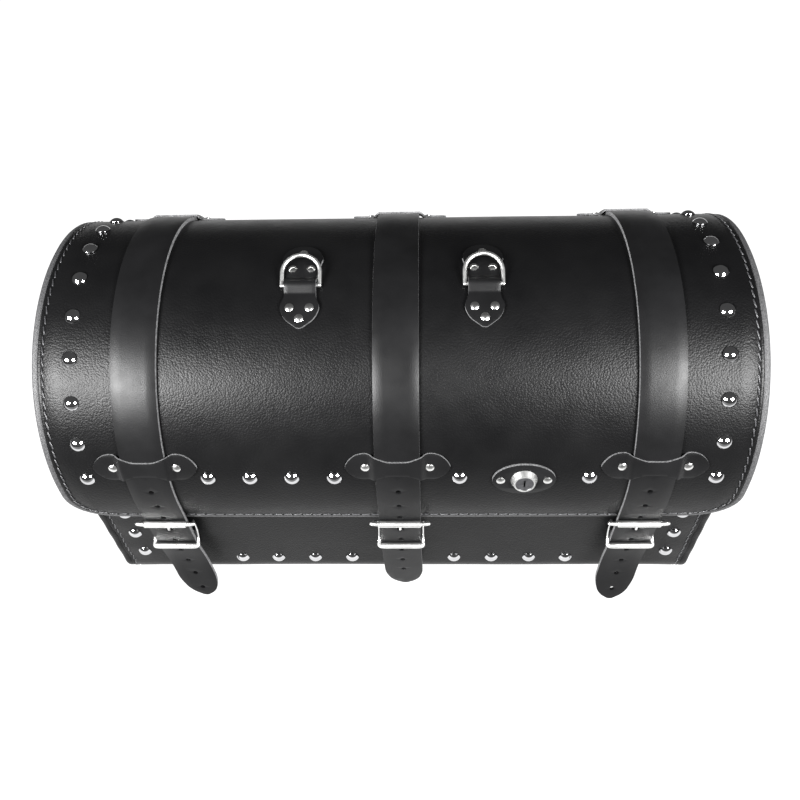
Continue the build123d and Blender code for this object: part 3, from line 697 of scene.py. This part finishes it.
# ---------------------------------------------------------------- piping
# A bead of dark grey grained vinyl is sewn in round the lid's edge. It is thick and round outside, and
# a thin dark groove parts it from the leather.
piping = shader("grey_grained_vinyl", 0.5, specular=0.3)
tint(piping, grain(piping, 800, 3), (0.01, 0.01, 0.0105), (0.035, 0.035, 0.036))
relief(piping, cells(piping, 1300), 0.0003, 0.8)
piping_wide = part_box("lid_piping")[1].x - lid_half
piping_deep = lid_radius - 0.144
piping_power = 0.62  # below 1, the section is squarer than an oval
bead_steps = 8
edge_path, edge_length = lid_edge(0)
bead_lengths = 330
bpy.ops.object.select_all(action="DESELECT")
bpy.ops.mesh.primitive_grid_add(x_subdivisions=bead_steps * 2, y_subdivisions=bead_lengths, size=1)
bead = bpy.context.object
bead.name = "lid_piping_bead"


def bead_place(across, along, h):
    """Section of the bead, carried along the lid's edge."""
    share = (across + 0.5) * 2 * pi
    spot, way = edge_path((along + 0.5) * edge_length)
    wide = piping_wide / 2
    deep = piping_deep / 2
    out = wide + wide * (1 if cos(share) > 0 else -1) * abs(cos(share)) ** piping_power
    up = -deep + deep * (1 if sin(share) > 0 else -1) * abs(sin(share)) ** piping_power
    inside = max(0, 1 - out / 0.0016)
    x = spot.x + out * sin(way)
    s = spot.y - out * cos(way)
    rise = up - 0.0011 * inside ** 2 * (up > -deep) - 0.0002
    return on_lid(x + lid_bulge(x, s), s - lid_sag(x, s), rise)


bent(bead, bead_place)
editing(bead, "EDGE")
bpy.ops.mesh.select_all(action="SELECT")
bpy.ops.mesh.remove_doubles(threshold=0.00001)
bpy.ops.mesh.select_all(action="DESELECT")
bpy.ops.mesh.select_non_manifold(extend=False)
bpy.ops.mesh.edge_face_add()
done()
bead.data.materials.append(piping)
tidy(bead, 50)
ready(bead, "lid", "piping_vinyl", "lid_piping")

# ---------------------------------------------------------------- leather hinge
# A thinner strip of leather, riveted to the back panel and to the lid, is the lid's hinge. It bends
# along the gap between them.
hinge_thick = 0.0025
hinge_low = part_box("hinge_leaf_case")[0]
hinge_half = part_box("hinge_leaf_case")[1].x
hinge_below = axis_height - hinge_low.z
hinge_above = 0.0290
hinge_long = hinge_below + hinge_above
hinge_steps = [(hinge_below, 0), (hinge_above, hinge_above / lid_radius)]
hinge_path = walk((back_face, hinge_low.z), pi / 2, hinge_steps)


def hinge_place(x, s, h):
    spot, way = hinge_path(s)
    out = h + hinge_thick
    return Vector((-x, spot.x + out * sin(way), spot.y - out * cos(way)))


hinge = cut_flat("hinge_leather", rectangle(hinge_half, 0, hinge_long))
round_corners(hinge, lambda x, y: True, 0.008)
grooved(hinge)
cut_grid(hinge, hinge_half, 0.02, 0, hinge_long, 0.0015)
thicken(hinge, hinge_thick)
soften(hinge, 0.0004)
hinge.data.materials.append(leather)
bent(hinge, hinge_place)
tidy(hinge)
flex_height = axis_height + 0.003
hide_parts("hinge_leaf_case", "hinge_leaf_lid")
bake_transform(hinge)

# ---------------------------------------------------------------- dome studs
# Chrome-plated studs of 13 mm, pressed from sheet, with a small turned-in rim. They run round the
# lid, down both sides of the case's front and along its bottom.
chrome = shader("bright_chrome", 0.15, metallic=1.0)
tint(chrome, grain(chrome, 60), (0.5, 0.5, 0.51), (0.58, 0.58, 0.59))
gloss(chrome, grain(chrome, 350, 4), 0.04, 0.12)
relief(chrome, grain(chrome, 900), 0.00002, 0.3)


def spun(name, profile, material, steps=28):
    """Round piece: a line of points from its middle outwards, spun round the z axis."""
    bpy.ops.object.select_all(action="DESELECT")
    bpy.ops.mesh.primitive_plane_add(size=0.001)
    piece = bpy.context.object
    piece.name = name
    editing(piece, "VERT")
    bpy.ops.mesh.select_all(action="SELECT")
    bpy.ops.mesh.merge(type="CENTER")
    bpy.ops.transform.translate(value=(profile[0][0], 0, profile[0][1]))
    for before, after in zip(profile, profile[1:]):
        move = (after[0] - before[0], 0, after[1] - before[1])
        bpy.ops.mesh.extrude_region_move(TRANSFORM_OT_translate={"value": move})
    bpy.ops.mesh.select_all(action="SELECT")
    bpy.ops.mesh.spin(steps=steps, angle=2 * pi, center=(0, 0, 0), axis=(0, 0, 1))
    done()
    piece.data.materials.append(material)
    return tidy(piece, 35)


def dome_line(radius, height, rim, steps=7):
    """Profile of a domed head with a small rim, from the top of the dome to under its middle."""
    top = height - rim
    ball = (radius ** 2 + top ** 2) / (2 * top)
    widest = asin(radius / ball)
    turns = [widest * n / steps for n in range(steps + 1)]
    line = [(ball * sin(turned), height - ball + ball * cos(turned)) for turned in turns]
    return line + [(radius, rim * 0.4), (radius * 0.96, 0), (0, 0)]


def lid_spot(x, turned, out=0.0):
    """Frame on the lid: z points out and y up its curve. The turn is in degrees from the front."""
    place = on_lid(x, radians(turned) * lid_radius, out)
    outward = Vector((0, -cos(radians(turned)), sin(radians(turned))))
    return frame_at(place, outward)


def frame_at(place, outward):
    across = Vector((1, 0, 0))
    return Matrix.Translation(place) @ Matrix((across, outward.cross(across), outward)).transposed().to_4x4()


def wall_spot(x, height):
    """Frame on the front wall of the case."""
    outward = Vector((0, -cos(wall_lean), -sin(wall_lean)))
    return frame_at(Vector((x, -base_front - height * tan(wall_lean), height)), outward)


stud_radius = 0.0065
stud_height = 0.004
side_stud_half = 0.271
side_stud_turns = [7.2 + 14.15 * number for number in range(12)]
front_stud_places = (-0.165, -0.1285, -0.092, -0.055, 0.053, 0.164)
case_stud_half = 0.2635
case_stud_heights = (0.1225, 0.086, 0.050)
bottom_stud_places = (-0.165, -0.128, -0.090, -0.052, 0.052, 0.090, 0.128, 0.165)
bottom_stud_height = 0.037
side_spots = [lid_spot(sign * side_stud_half, turned) for sign in (-1, 1) for turned in side_stud_turns]
case_spots = [wall_spot(sign * case_stud_half, z) for sign in (-1, 1) for z in case_stud_heights]
stud_sets = {
    "lid_side_studs": ("lid", side_spots),
    "lid_front_studs": ("lid", [lid_spot(x, side_stud_turns[0]) for x in front_stud_places]),
    "case_side_studs": ("case", case_spots),
    "case_bottom_studs": ("case", [wall_spot(x, bottom_stud_height) for x in bottom_stud_places]),
}
for name, (body, places) in stud_sets.items():
    one = spun("one_stud", dome_line(stud_radius, stud_height, 0.0007), chrome)
    ready(copies("bright_" + name, one, places), body, "chrome", name)

# ---------------------------------------------------------------- straps
# Three straps of smooth bridle leather, 38 mm wide, run over the lid and hang down in front. Their
# cut edges are grey, their tips are pointed, and each is punched with a row of holes.
strap_leather = shader("black_strap_leather", 0.38, specular=0.12)
tint(strap_leather, grain(strap_leather, 22, 5), (0.0018, 0.0018, 0.0019), (0.0034, 0.0034, 0.0036))
gloss(strap_leather, grain(strap_leather, 80, 4), 0.3, 0.44)
relief(strap_leather, cells(strap_leather, 1100), 0.00012, 0.35, sunk=True)
relief(strap_leather, grain(strap_leather, 60, 5, (1, 0.3, 0.3)), 0.0006, 0.3)

strap_half = 0.019
strap_thick = 0.0035
strap_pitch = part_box("strap_right")[1].x - strap_half
strap_places = {"left": -strap_pitch, "centre": 0.0, "right": strap_pitch}
strap_curls = {"left": radians(17), "centre": 0.0, "right": radians(26)}
strap_back = radians(163)
strap_leave = radians(6)
tail_straight = 0.092
curl_radius = 0.120
tip_long = 0.026
tail_floor_gap = 0.003
hole_pitch = 0.0213
hole_radius = 0.0024
prong_hole_radius = 0.0034
buckle_at = 0.0285
prong_hole = buckle_at + 0.0146
tail_drifts = {"left": 0.013, "centre": 0.002, "right": -0.007}
drift_from = 0.075
over_lid = (strap_back + strap_leave) * lid_radius


def strap_path(curl):
    """Path of a strap's back face, from where it leaves the lid: less than 0 is over the lid."""
    start = (-lid_radius * cos(strap_back), axis_height + lid_radius * sin(strap_back))
    heading = pi / 2 + pi - strap_back
    curved = (curl_radius * max(curl, 0.0001), -curl)
    steps = [(over_lid, strap_back + strap_leave), (tail_straight, 0), curved, (0.5, 0)]
    path = walk(start, heading, steps)
    return lambda s: path(s + over_lid)


def tail_length(curl):
    """Length of a tail whose tip ends just above the base."""
    path = strap_path(curl)
    length = tail_straight
    while path(length)[0].y > tail_floor_gap:
        length += 0.0005
    return length


def punched(piece, spots, radius, deep):
    """Cuts round holes through a flat piece."""
    drills = []
    for x, y in spots:
        bpy.ops.object.select_all(action="DESELECT")
        middle = (x, y, 0)
        bpy.ops.mesh.primitive_cylinder_add(vertices=20, radius=radius, depth=6 * deep, location=middle)
        bpy.ops.object.transform_apply(location=True, rotation=True, scale=True)
        drills.append(bpy.context.object)
    drill = sewn("drills", drills)
    modified(piece, "BOOLEAN", object=drill, operation="DIFFERENCE", solver="EXACT")
    bpy.data.objects.remove(drill)


for side, x in strap_places.items():
    curl = strap_curls[side]
    length = tail_length(curl)
    end = -over_lid
    outline = [(-strap_half, end), (strap_half, end), (strap_half, length - tip_long),
               (0.72 * strap_half, length - 0.33 * tip_long), (0, length),
               (-0.72 * strap_half, length - 0.33 * tip_long), (-strap_half, length - tip_long)]
    strap = cut_flat("strap_leather_" + side, outline)
    round_corners(strap, lambda a, b: b < end + 0.001, 0.004)
    round_corners(strap, lambda a, b: b > length - 0.001, 0.004)
    round_corners(strap, lambda a, b: 0.7 * strap_half < abs(a) < 0.74 * strap_half, 0.007)
    round_corners(strap, lambda a, b: abs(b - length + tip_long) < 0.0002, 0.006)
    cut_grid(strap, strap_half, strap_half / 2, end, length, 0.0062)
    thicken(strap, strap_thick)
    holes = [(0, prong_hole + number * hole_pitch) for number in range(-4, 7) if number != 0]
    holes = [spot for spot in holes if spot[1] < length - tip_long / 2]
    edges_raw(strap, strap_leather, raw_edge)
    punched(strap, holes, hole_radius, strap_thick)
    punched(strap, [(0, prong_hole)], prong_hole_radius, strap_thick)
    soften(strap, 0.0005)
    path = strap_path(curl)
    drift = tail_drifts[side]

    def strap_place(across, s, h):
        aside = drift * (max(s - drift_from, 0) / (length - drift_from)) ** 1.5
        twist = 0.0005 * noise.noise(Vector((x, s * 11, 7.7))) if s < 0 else 0
        belly = 0.0004 * (1 - (across / strap_half) ** 2) if h > -0.001 else 0
        spot, way = path(s)
        out = h + strap_thick + belly
        return Vector((x + across + twist + aside, spot.x + out * sin(way), spot.y - out * cos(way)))
    bent(strap, strap_place)
    tidy(strap)
    ready(strap, "lid", "strap_leather", "strap_" + side)

# ---------------------------------------------------------------- keepers
# Bow-tie pieces of thinner leather hold the straps down, three in front and three at the back.
# Each is riveted through both ends and bridges its strap in the middle.
keeper_half = 0.045
keeper_lobe = 0.0138
keeper_waist = 0.0071
keeper_thick = 0.002
keeper_lift = strap_thick + 0.0003
keeper_turns = {"front": 12.6, "back": 130.0}
keeper_rivet_half = 0.0275


def keeper_edge(a):
    """Half the keeper's height at a distance from its middle: waist, round lobe, blunt point."""
    grow = min(1, max(0, (abs(a) - 0.006) / 0.022))
    body = keeper_waist + (keeper_lobe - keeper_waist) * grow ** 2 * (3 - 2 * grow)
    end = max(0, (abs(a) - 0.028) / (keeper_half - 0.028))
    return body * (1 - end ** 2.2) ** 0.75


def keeper(name, x, turned):
    steps = 36
    along = [keeper_half * cos(pi * n / steps) for n in range(steps + 1)]
    upper = [(a, keeper_edge(a)) for a in along]
    piece = cut_flat(name, upper + [(a, -b) for a, b in reversed(upper[1:-1])])
    cut_grid(piece, keeper_half, 0.0014, -keeper_lobe, keeper_lobe, 0.003)
    thicken(piece, keeper_thick)
    edges_raw(piece, strap_leather, raw_edge)
    soften(piece, 0.0004)
    foot = strap_half + 0.0065
    crest = strap_half + 0.0002
    middle = radians(turned) * lid_radius

    def place(a, b, h):
        rise = min(1, max(0, (foot - abs(a)) / (foot - crest)))
        lift = keeper_lift * rise * rise * (3 - 2 * rise)
        curve = -0.0004 * abs(b / keeper_lobe) ** 3 if h > -0.001 else 0
        return on_lid(x + a, middle + b, h + keeper_thick + lift + curve + 0.00005)
    bent(piece, place)
    return tidy(piece)


back_set = []
for side, x in strap_places.items():
    front_keeper = keeper("keeper_leather_" + side, x, keeper_turns["front"])
    ready(front_keeper, "lid", "strap_leather", "keeper_" + side)
    back_set.append(keeper("back_keeper_" + side, x, keeper_turns["back"]))
ready(sewn("back_keeper_leather", back_set), "lid", "strap_leather", "back_keepers")

# ---------------------------------------------------------------- rivets
# Small nickel-plated rivets with flat domes hold the keepers, tabs, straps, hinge and lock plate.
nickel = shader("polished_nickel", 0.2, metallic=1.0)
tint(nickel, grain(nickel, 90), (0.62, 0.62, 0.61), (0.74, 0.74, 0.73))
gloss(nickel, grain(nickel, 500, 4), 0.14, 0.28)
relief(nickel, grain(nickel, 1200), 0.00003, 0.4)
rivet_radius = 0.00375
rivet_height = 0.0016
tab_places = {"left": -0.080, "right": 0.0735}
tab_turn = 73.5
tab_thick = 0.0025
tab_rivets = ((0.0, 0.0348), (-0.008, 0.017), (0.008, 0.017),
              (0.0, -0.030), (-0.0083, -0.0207), (0.0083, -0.0207))
lock_x = 0.108
lock_turn = 7.0
lock_plate_thick = 0.0025
lock_rivet_half = 0.020
hinge_rivet_count = 9
hinge_rivet_reach = lid_half - 0.021
hinge_lid_turn = 180 - degrees(asin(0.00325 / lid_radius)) - degrees(0.026 / lid_radius) / 2
hinge_case_height = flex_height - 0.00025 - 0.013
receiver_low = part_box("receiver_rivets")[0]


def rivet():
    return spun("one_rivet", dome_line(rivet_radius, rivet_height, 0.0005, 5), nickel, 20)


def pairs(turned, half, out):
    return [lid_spot(x + sign * half, turned, out) for x in strap_places.values() for sign in (-1, 1)]


hinge_gaps = hinge_rivet_count - 1
hinge_rivet_places = [hinge_rivet_reach * (2 * n / hinge_gaps - 1) for n in range(hinge_rivet_count)]
case_hinge_spots = [frame_at(Vector((x, back_face + hinge_thick, hinge_case_height)), Vector((0, 1, 0)))
                    for x in hinge_rivet_places]
tab_rivet_spots = []
for x in tab_places.values():
    for dx, dy in tab_rivets:
        tab_rivet_spots.append(lid_spot(x + dx, tab_turn + degrees(asin(dy / lid_radius)), tab_thick))
lock_spot = lid_spot(lock_x, lock_turn)
lock_rivet_spots = [lock_spot @ Matrix.Translation((dx, 0, lock_plate_thick))
                    for dx in (-lock_rivet_half, lock_rivet_half)]
rivet_sets = {
    "keeper_rivets": ("lid", pairs(keeper_turns["front"], keeper_rivet_half, keeper_thick)
                      + pairs(keeper_turns["back"], keeper_rivet_half, keeper_thick)),
    "strap_rivets": ("lid", pairs(163 - degrees(0.009 / lid_radius), strap_half / 2, strap_thick)),
    "tab_rivets": ("lid", tab_rivet_spots),
    "lock_plate_rivets": ("lid", lock_rivet_spots),
    "hinge_rivets_lid": ("lid", [lid_spot(x, hinge_lid_turn, hinge_thick) for x in hinge_rivet_places]),
    "hinge_rivets_case": ("case", case_hinge_spots),
}
for name, (body, places) in rivet_sets.items():
    ready(copies("small_" + name, rivet(), places), body, "nickel_wire", name)
finish_node(nickel, "nickel_wire", "receiver_rivets", "strike_rivets")

# ---------------------------------------------------------------- buckles
# Each roller buckle is a bent nickel-plated wire with a turning roller at its top and a prong on
# its middle bar, which lies behind the strap.
satin = shader("satin_nickel", 0.34, metallic=1.0)
tint(satin, grain(satin, 90), (0.62, 0.62, 0.61), (0.76, 0.76, 0.75))
gloss(satin, grain(satin, 500, 4), 0.27, 0.4)
roller_outer = 0.0031
roller_bore = 0.0021
roller_long = 0.039
buckle_gap = 0.0003
bar_out = strap_thick + buckle_gap + roller_outer
lower_drop = 0.043
lower_out = strap_thick + buckle_gap + 0.0029
middle_drop = 0.018
middle_back = 0.0033


def tail_spot(x, s):
    """Frame on a strap's back face, above any curl: y points up the strap and z out of it."""
    spot, way = strap_path(0)(s)
    return frame_at(Vector((x, spot.x, spot.y)), Vector((0, sin(way), -cos(way))))


def wire(name, points, radius, closed):
    """Bent wire: a smooth curve near the points, given its thickness and made a mesh."""
    curve = bpy.data.curves.new(name, "CURVE")
    curve.dimensions = "3D"
    curve.bevel_depth = radius
    curve.bevel_resolution = 4
    curve.use_fill_caps = True
    curve.resolution_u = 6
    line = curve.splines.new("NURBS")
    line.points.add(len(points) - 1)
    for knot, point in zip(line.points, points):
        knot.co = (*point[:3], 1)
        knot.radius = point[3] if len(point) > 3 else 1
    line.order_u = 3
    line.use_cyclic_u = closed
    line.use_endpoint_u = not closed
    piece = bpy.data.objects.new(name, curve)
    bpy.context.collection.objects.link(piece)
    bpy.ops.object.select_all(action="DESELECT")
    bpy.context.view_layer.objects.active = piece
    piece.select_set(True)
    bpy.ops.object.convert(target="MESH")
    return bpy.context.object


def buckle_frame():
    """Wire with blunt points beside the roller. Its thin sides dip behind the strap."""
    half = [(0.010, 0, bar_out, 1), (0.021, 0, bar_out, 1), (0.0265, 0.0002, bar_out - 0.0004, 0.9),
            (0.0270, -0.0012, bar_out - 0.0014, 0.7), (0.0238, -0.0055, 0.0008, 0.5),
            (0.0213, -0.0115, -middle_back - 0.0005, 0.5), (0.0209, -0.0205, -middle_back - 0.0015, 0.5),
            (0.0208, -0.032, -middle_back - 0.0008, 0.5), (0.0210, -0.0405, 0.0006, 0.6),
            (0.0212, -lower_drop, lower_out, 1.2), (0.0165, -lower_drop - 0.0002, lower_out, 1.5),
            (0.0080, -lower_drop, lower_out, 1.5)]
    loop = wire("frame_loop", half + [(-a, b, c, d) for a, b, c, d in reversed(half)], 0.0019, True)
    across = [(a * 0.0209, -middle_drop, -middle_back) for a in (-1, -0.4, 0.4, 1)]
    middle = wire("frame_bar", across, 0.0015, False)
    frame_piece = sewn("one_frame", [loop, middle])
    frame_piece.data.materials.clear()
    frame_piece.data.materials.append(satin)
    return frame_piece


def roller():
    """Tube with its ends rolled in a little."""
    end = roller_long / 2
    line = [(roller_bore, -end), (roller_outer - 0.0006, -end), (roller_outer, -end + 0.0007),
            (roller_outer, 0), (roller_outer, end - 0.0007), (roller_outer - 0.0006, end),
            (roller_bore, end), (roller_bore, 0), (roller_bore, -end)]
    return spun("one_roller", line, satin, 24)


for side, x in strap_places.items():
    spot = tail_spot(x, buckle_at)
    wire_frame = copies("wire_frame_" + side, buckle_frame(), [spot])
    ready(wire_frame, "lid", "nickel_wire", "buckle_frame_" + side)
    lying = spot @ Matrix.Translation((0, 0, bar_out)) @ Matrix.Rotation(pi / 2, 4, "Y")
    roller_tube = copies("roller_tube_" + side, roller(), [lying])
    ready(roller_tube, "roller_" + side, "nickel_wire", "roller_" + side)
    finish_node(satin, "nickel_wire", "prong_" + side)

# ---------------------------------------------------------------- chapes and clips
# A short loop of leather behind each buckle holds a clip of black nylon. The clip's socket is
# riveted to the case, so that the lid opens with the straps left buckled.
nylon = shader("black_nylon", 0.42)
tint(nylon, grain(nylon, 60), (0.01, 0.01, 0.0105), (0.017, 0.017, 0.0175))
relief(nylon, grain(nylon, 1800, 2), 0.00008, 0.4)
finish_node(nylon, "black_nylon", "clip_tongues", "clip_receivers")
chape_half = 0.015
chape_thick = 0.0014
chape_long = 0.026
chape_lean = radians(12)
bar_clear = 0.00156
leaf_gap = 0.0008
taper = (bar_clear - leaf_gap) / chape_long
chape_steps = [(chape_long, 0), (bar_clear * (pi + 2 * taper), pi + 2 * taper), (chape_long, 0)]
chape_path = walk((leaf_gap, -chape_long), pi / 2 - taper, chape_steps)
chape_around = sum(length for length, turned in chape_steps)
chapes = []
for side, x in strap_places.items():
    hang = tail_spot(x, buckle_at + middle_drop) @ Matrix.Translation((0, 0, -middle_back))
    outward = Vector((0, -cos(chape_lean), -sin(chape_lean)))
    bar = frame_at(hang.translation, outward)
    chape = cut_flat("chape", rectangle(chape_half, 0, chape_around))
    round_corners(chape, lambda a, b: True, 0.003)
    cut_lines(chape, (0, 1, 0), 0, chape_around, 0.0004)
    thicken(chape, chape_thick)
    edges_raw(chape, strap_leather, raw_edge)

    def chape_place(a, s, h):
        spot, way = chape_path(s)
        out = h + chape_thick
        return bar @ Vector((a, spot.y - out * cos(way), spot.x + out * sin(way)))
    bent(chape, chape_place)
    chapes.append(tidy(chape))
ready(sewn("chape_leather", chapes), "lid", "strap_leather", "buckle_chapes")

# ---------------------------------------------------------------- ring tabs and D-rings
# Two leather tabs on top of the lid each hold a D-ring of nickel-plated wire under a hump across
# their waist. Three rivets hold each end.
tab_waist = 0.0133
tab_neck = 0.012
tab_lobe = 0.01725
tab_upper = 0.045
tab_lower = 0.040
ring_lift = 0.00215
hump_inner = ring_lift + 0.0003
hump_reach = 0.0085
for side, x in tab_places.items():
    lobe_y = tab_upper - tab_lobe
    upper = [(tab_lobe * cos(radians(a)), lobe_y + tab_lobe * sin(radians(a))) for a in range(0, 181, 15)]
    lower = [(-tab_waist, tab_neck), (-tab_waist, -tab_neck), (-tab_lobe, -tab_lower / 2),
             (-tab_lobe * 0.75, -tab_lower / 2 - tab_lobe * 0.6), (0, -tab_lower)]
    tab = cut_flat("ring_tab_leather_" + side, upper + lower + [(-a, b) for a, b in reversed(lower[:-1])])
    round_corners(tab, lambda a, b: b < -tab_lower + 0.001, 0.004)
    round_corners(tab, lambda a, b: abs(abs(a) - tab_lobe * 0.75) < 0.0003 and b < 0, 0.004)
    round_corners(tab, lambda a, b: abs(abs(a) - tab_lobe) < 0.0003 and b < 0, 0.004)
    round_corners(tab, lambda a, b: abs(abs(a) - tab_waist) < 0.0003, 0.003)
    cut_grid(tab, tab_lobe, 0.004, -tab_lower, tab_upper, 0.0008)
    thicken(tab, tab_thick)
    edges_raw(tab, strap_leather, raw_edge)
    soften(tab, 0.0005)

    def tab_place(a, b, h):
        """The waist rises over the ring's bar and comes down to the lid on both sides."""
        lift = tab_thick + h
        if abs(b) < hump_reach:
            rise = 0.5 + 0.5 * cos(pi * abs(b) / hump_reach)
            lift += (ring_lift + hump_inner) * rise ** 0.8
        return on_lid(x + a, radians(tab_turn) * lid_radius + b, lift + 0.00005)
    bent(tab, tab_place)
    tidy(tab)
    ready(tab, "lid", "strap_leather", "ring_tab_" + side)
finish_node(satin, "nickel_wire", "d_ring_left", "d_ring_right")

# ---------------------------------------------------------------- lock
# A cam lock with a satin bezel and a dark plug goes through the lid's front. An oval of
# leather with two rivets lies under it, and its cam catches a strike plate on the case's rim.
plate_half = 0.027
plate_short = 0.017
lock_hole_radius = 0.0096
oval = [(plate_half * cos(radians(a)), plate_short * sin(radians(a))) for a in range(0, 360, 8)]
plate = cut_flat("lock_plate_leather", oval)
cut_lines(plate, (0, 1, 0), -plate_short, plate_short, 0.002)
thicken(plate, lock_plate_thick)
punched(plate, [(0, 0)], lock_hole_radius, lock_plate_thick)
edges_raw(plate, strap_leather, raw_edge)
soften(plate, 0.0006)
lock_up = radians(lock_turn) * lid_radius
bent(plate, lambda a, b, h: on_lid(lock_x + a, lock_up + b, h + lock_plate_thick + 0.00005))
tidy(plate)
ready(plate, "lid", "strap_leather", "lock_plate")
lock_black = shader("black_lock_plug", 0.3, metallic=0.3)
tint(lock_black, grain(lock_black, 300), (0.012, 0.012, 0.013), (0.03, 0.03, 0.032))
relief(lock_black, grain(lock_black, 1500), 0.00005, 0.4)
finish_node(satin, "nickel_wire", "lock_body")
finish_node(lock_black, "lock_black", "lock_plug")
zinc = shader("zinc_plated_steel", 0.35, metallic=1.0)
tint(zinc, cells(zinc, 260), (0.42, 0.43, 0.45), (0.58, 0.59, 0.6))
gloss(zinc, grain(zinc, 200, 5), 0.28, 0.5)
relief(zinc, grain(zinc, 1000), 0.00004, 0.4)
finish_node(zinc, "zinc_steel", "lock_nut", "lock_cam", "strike_plate", "rack_plate", "rack_eyelets")
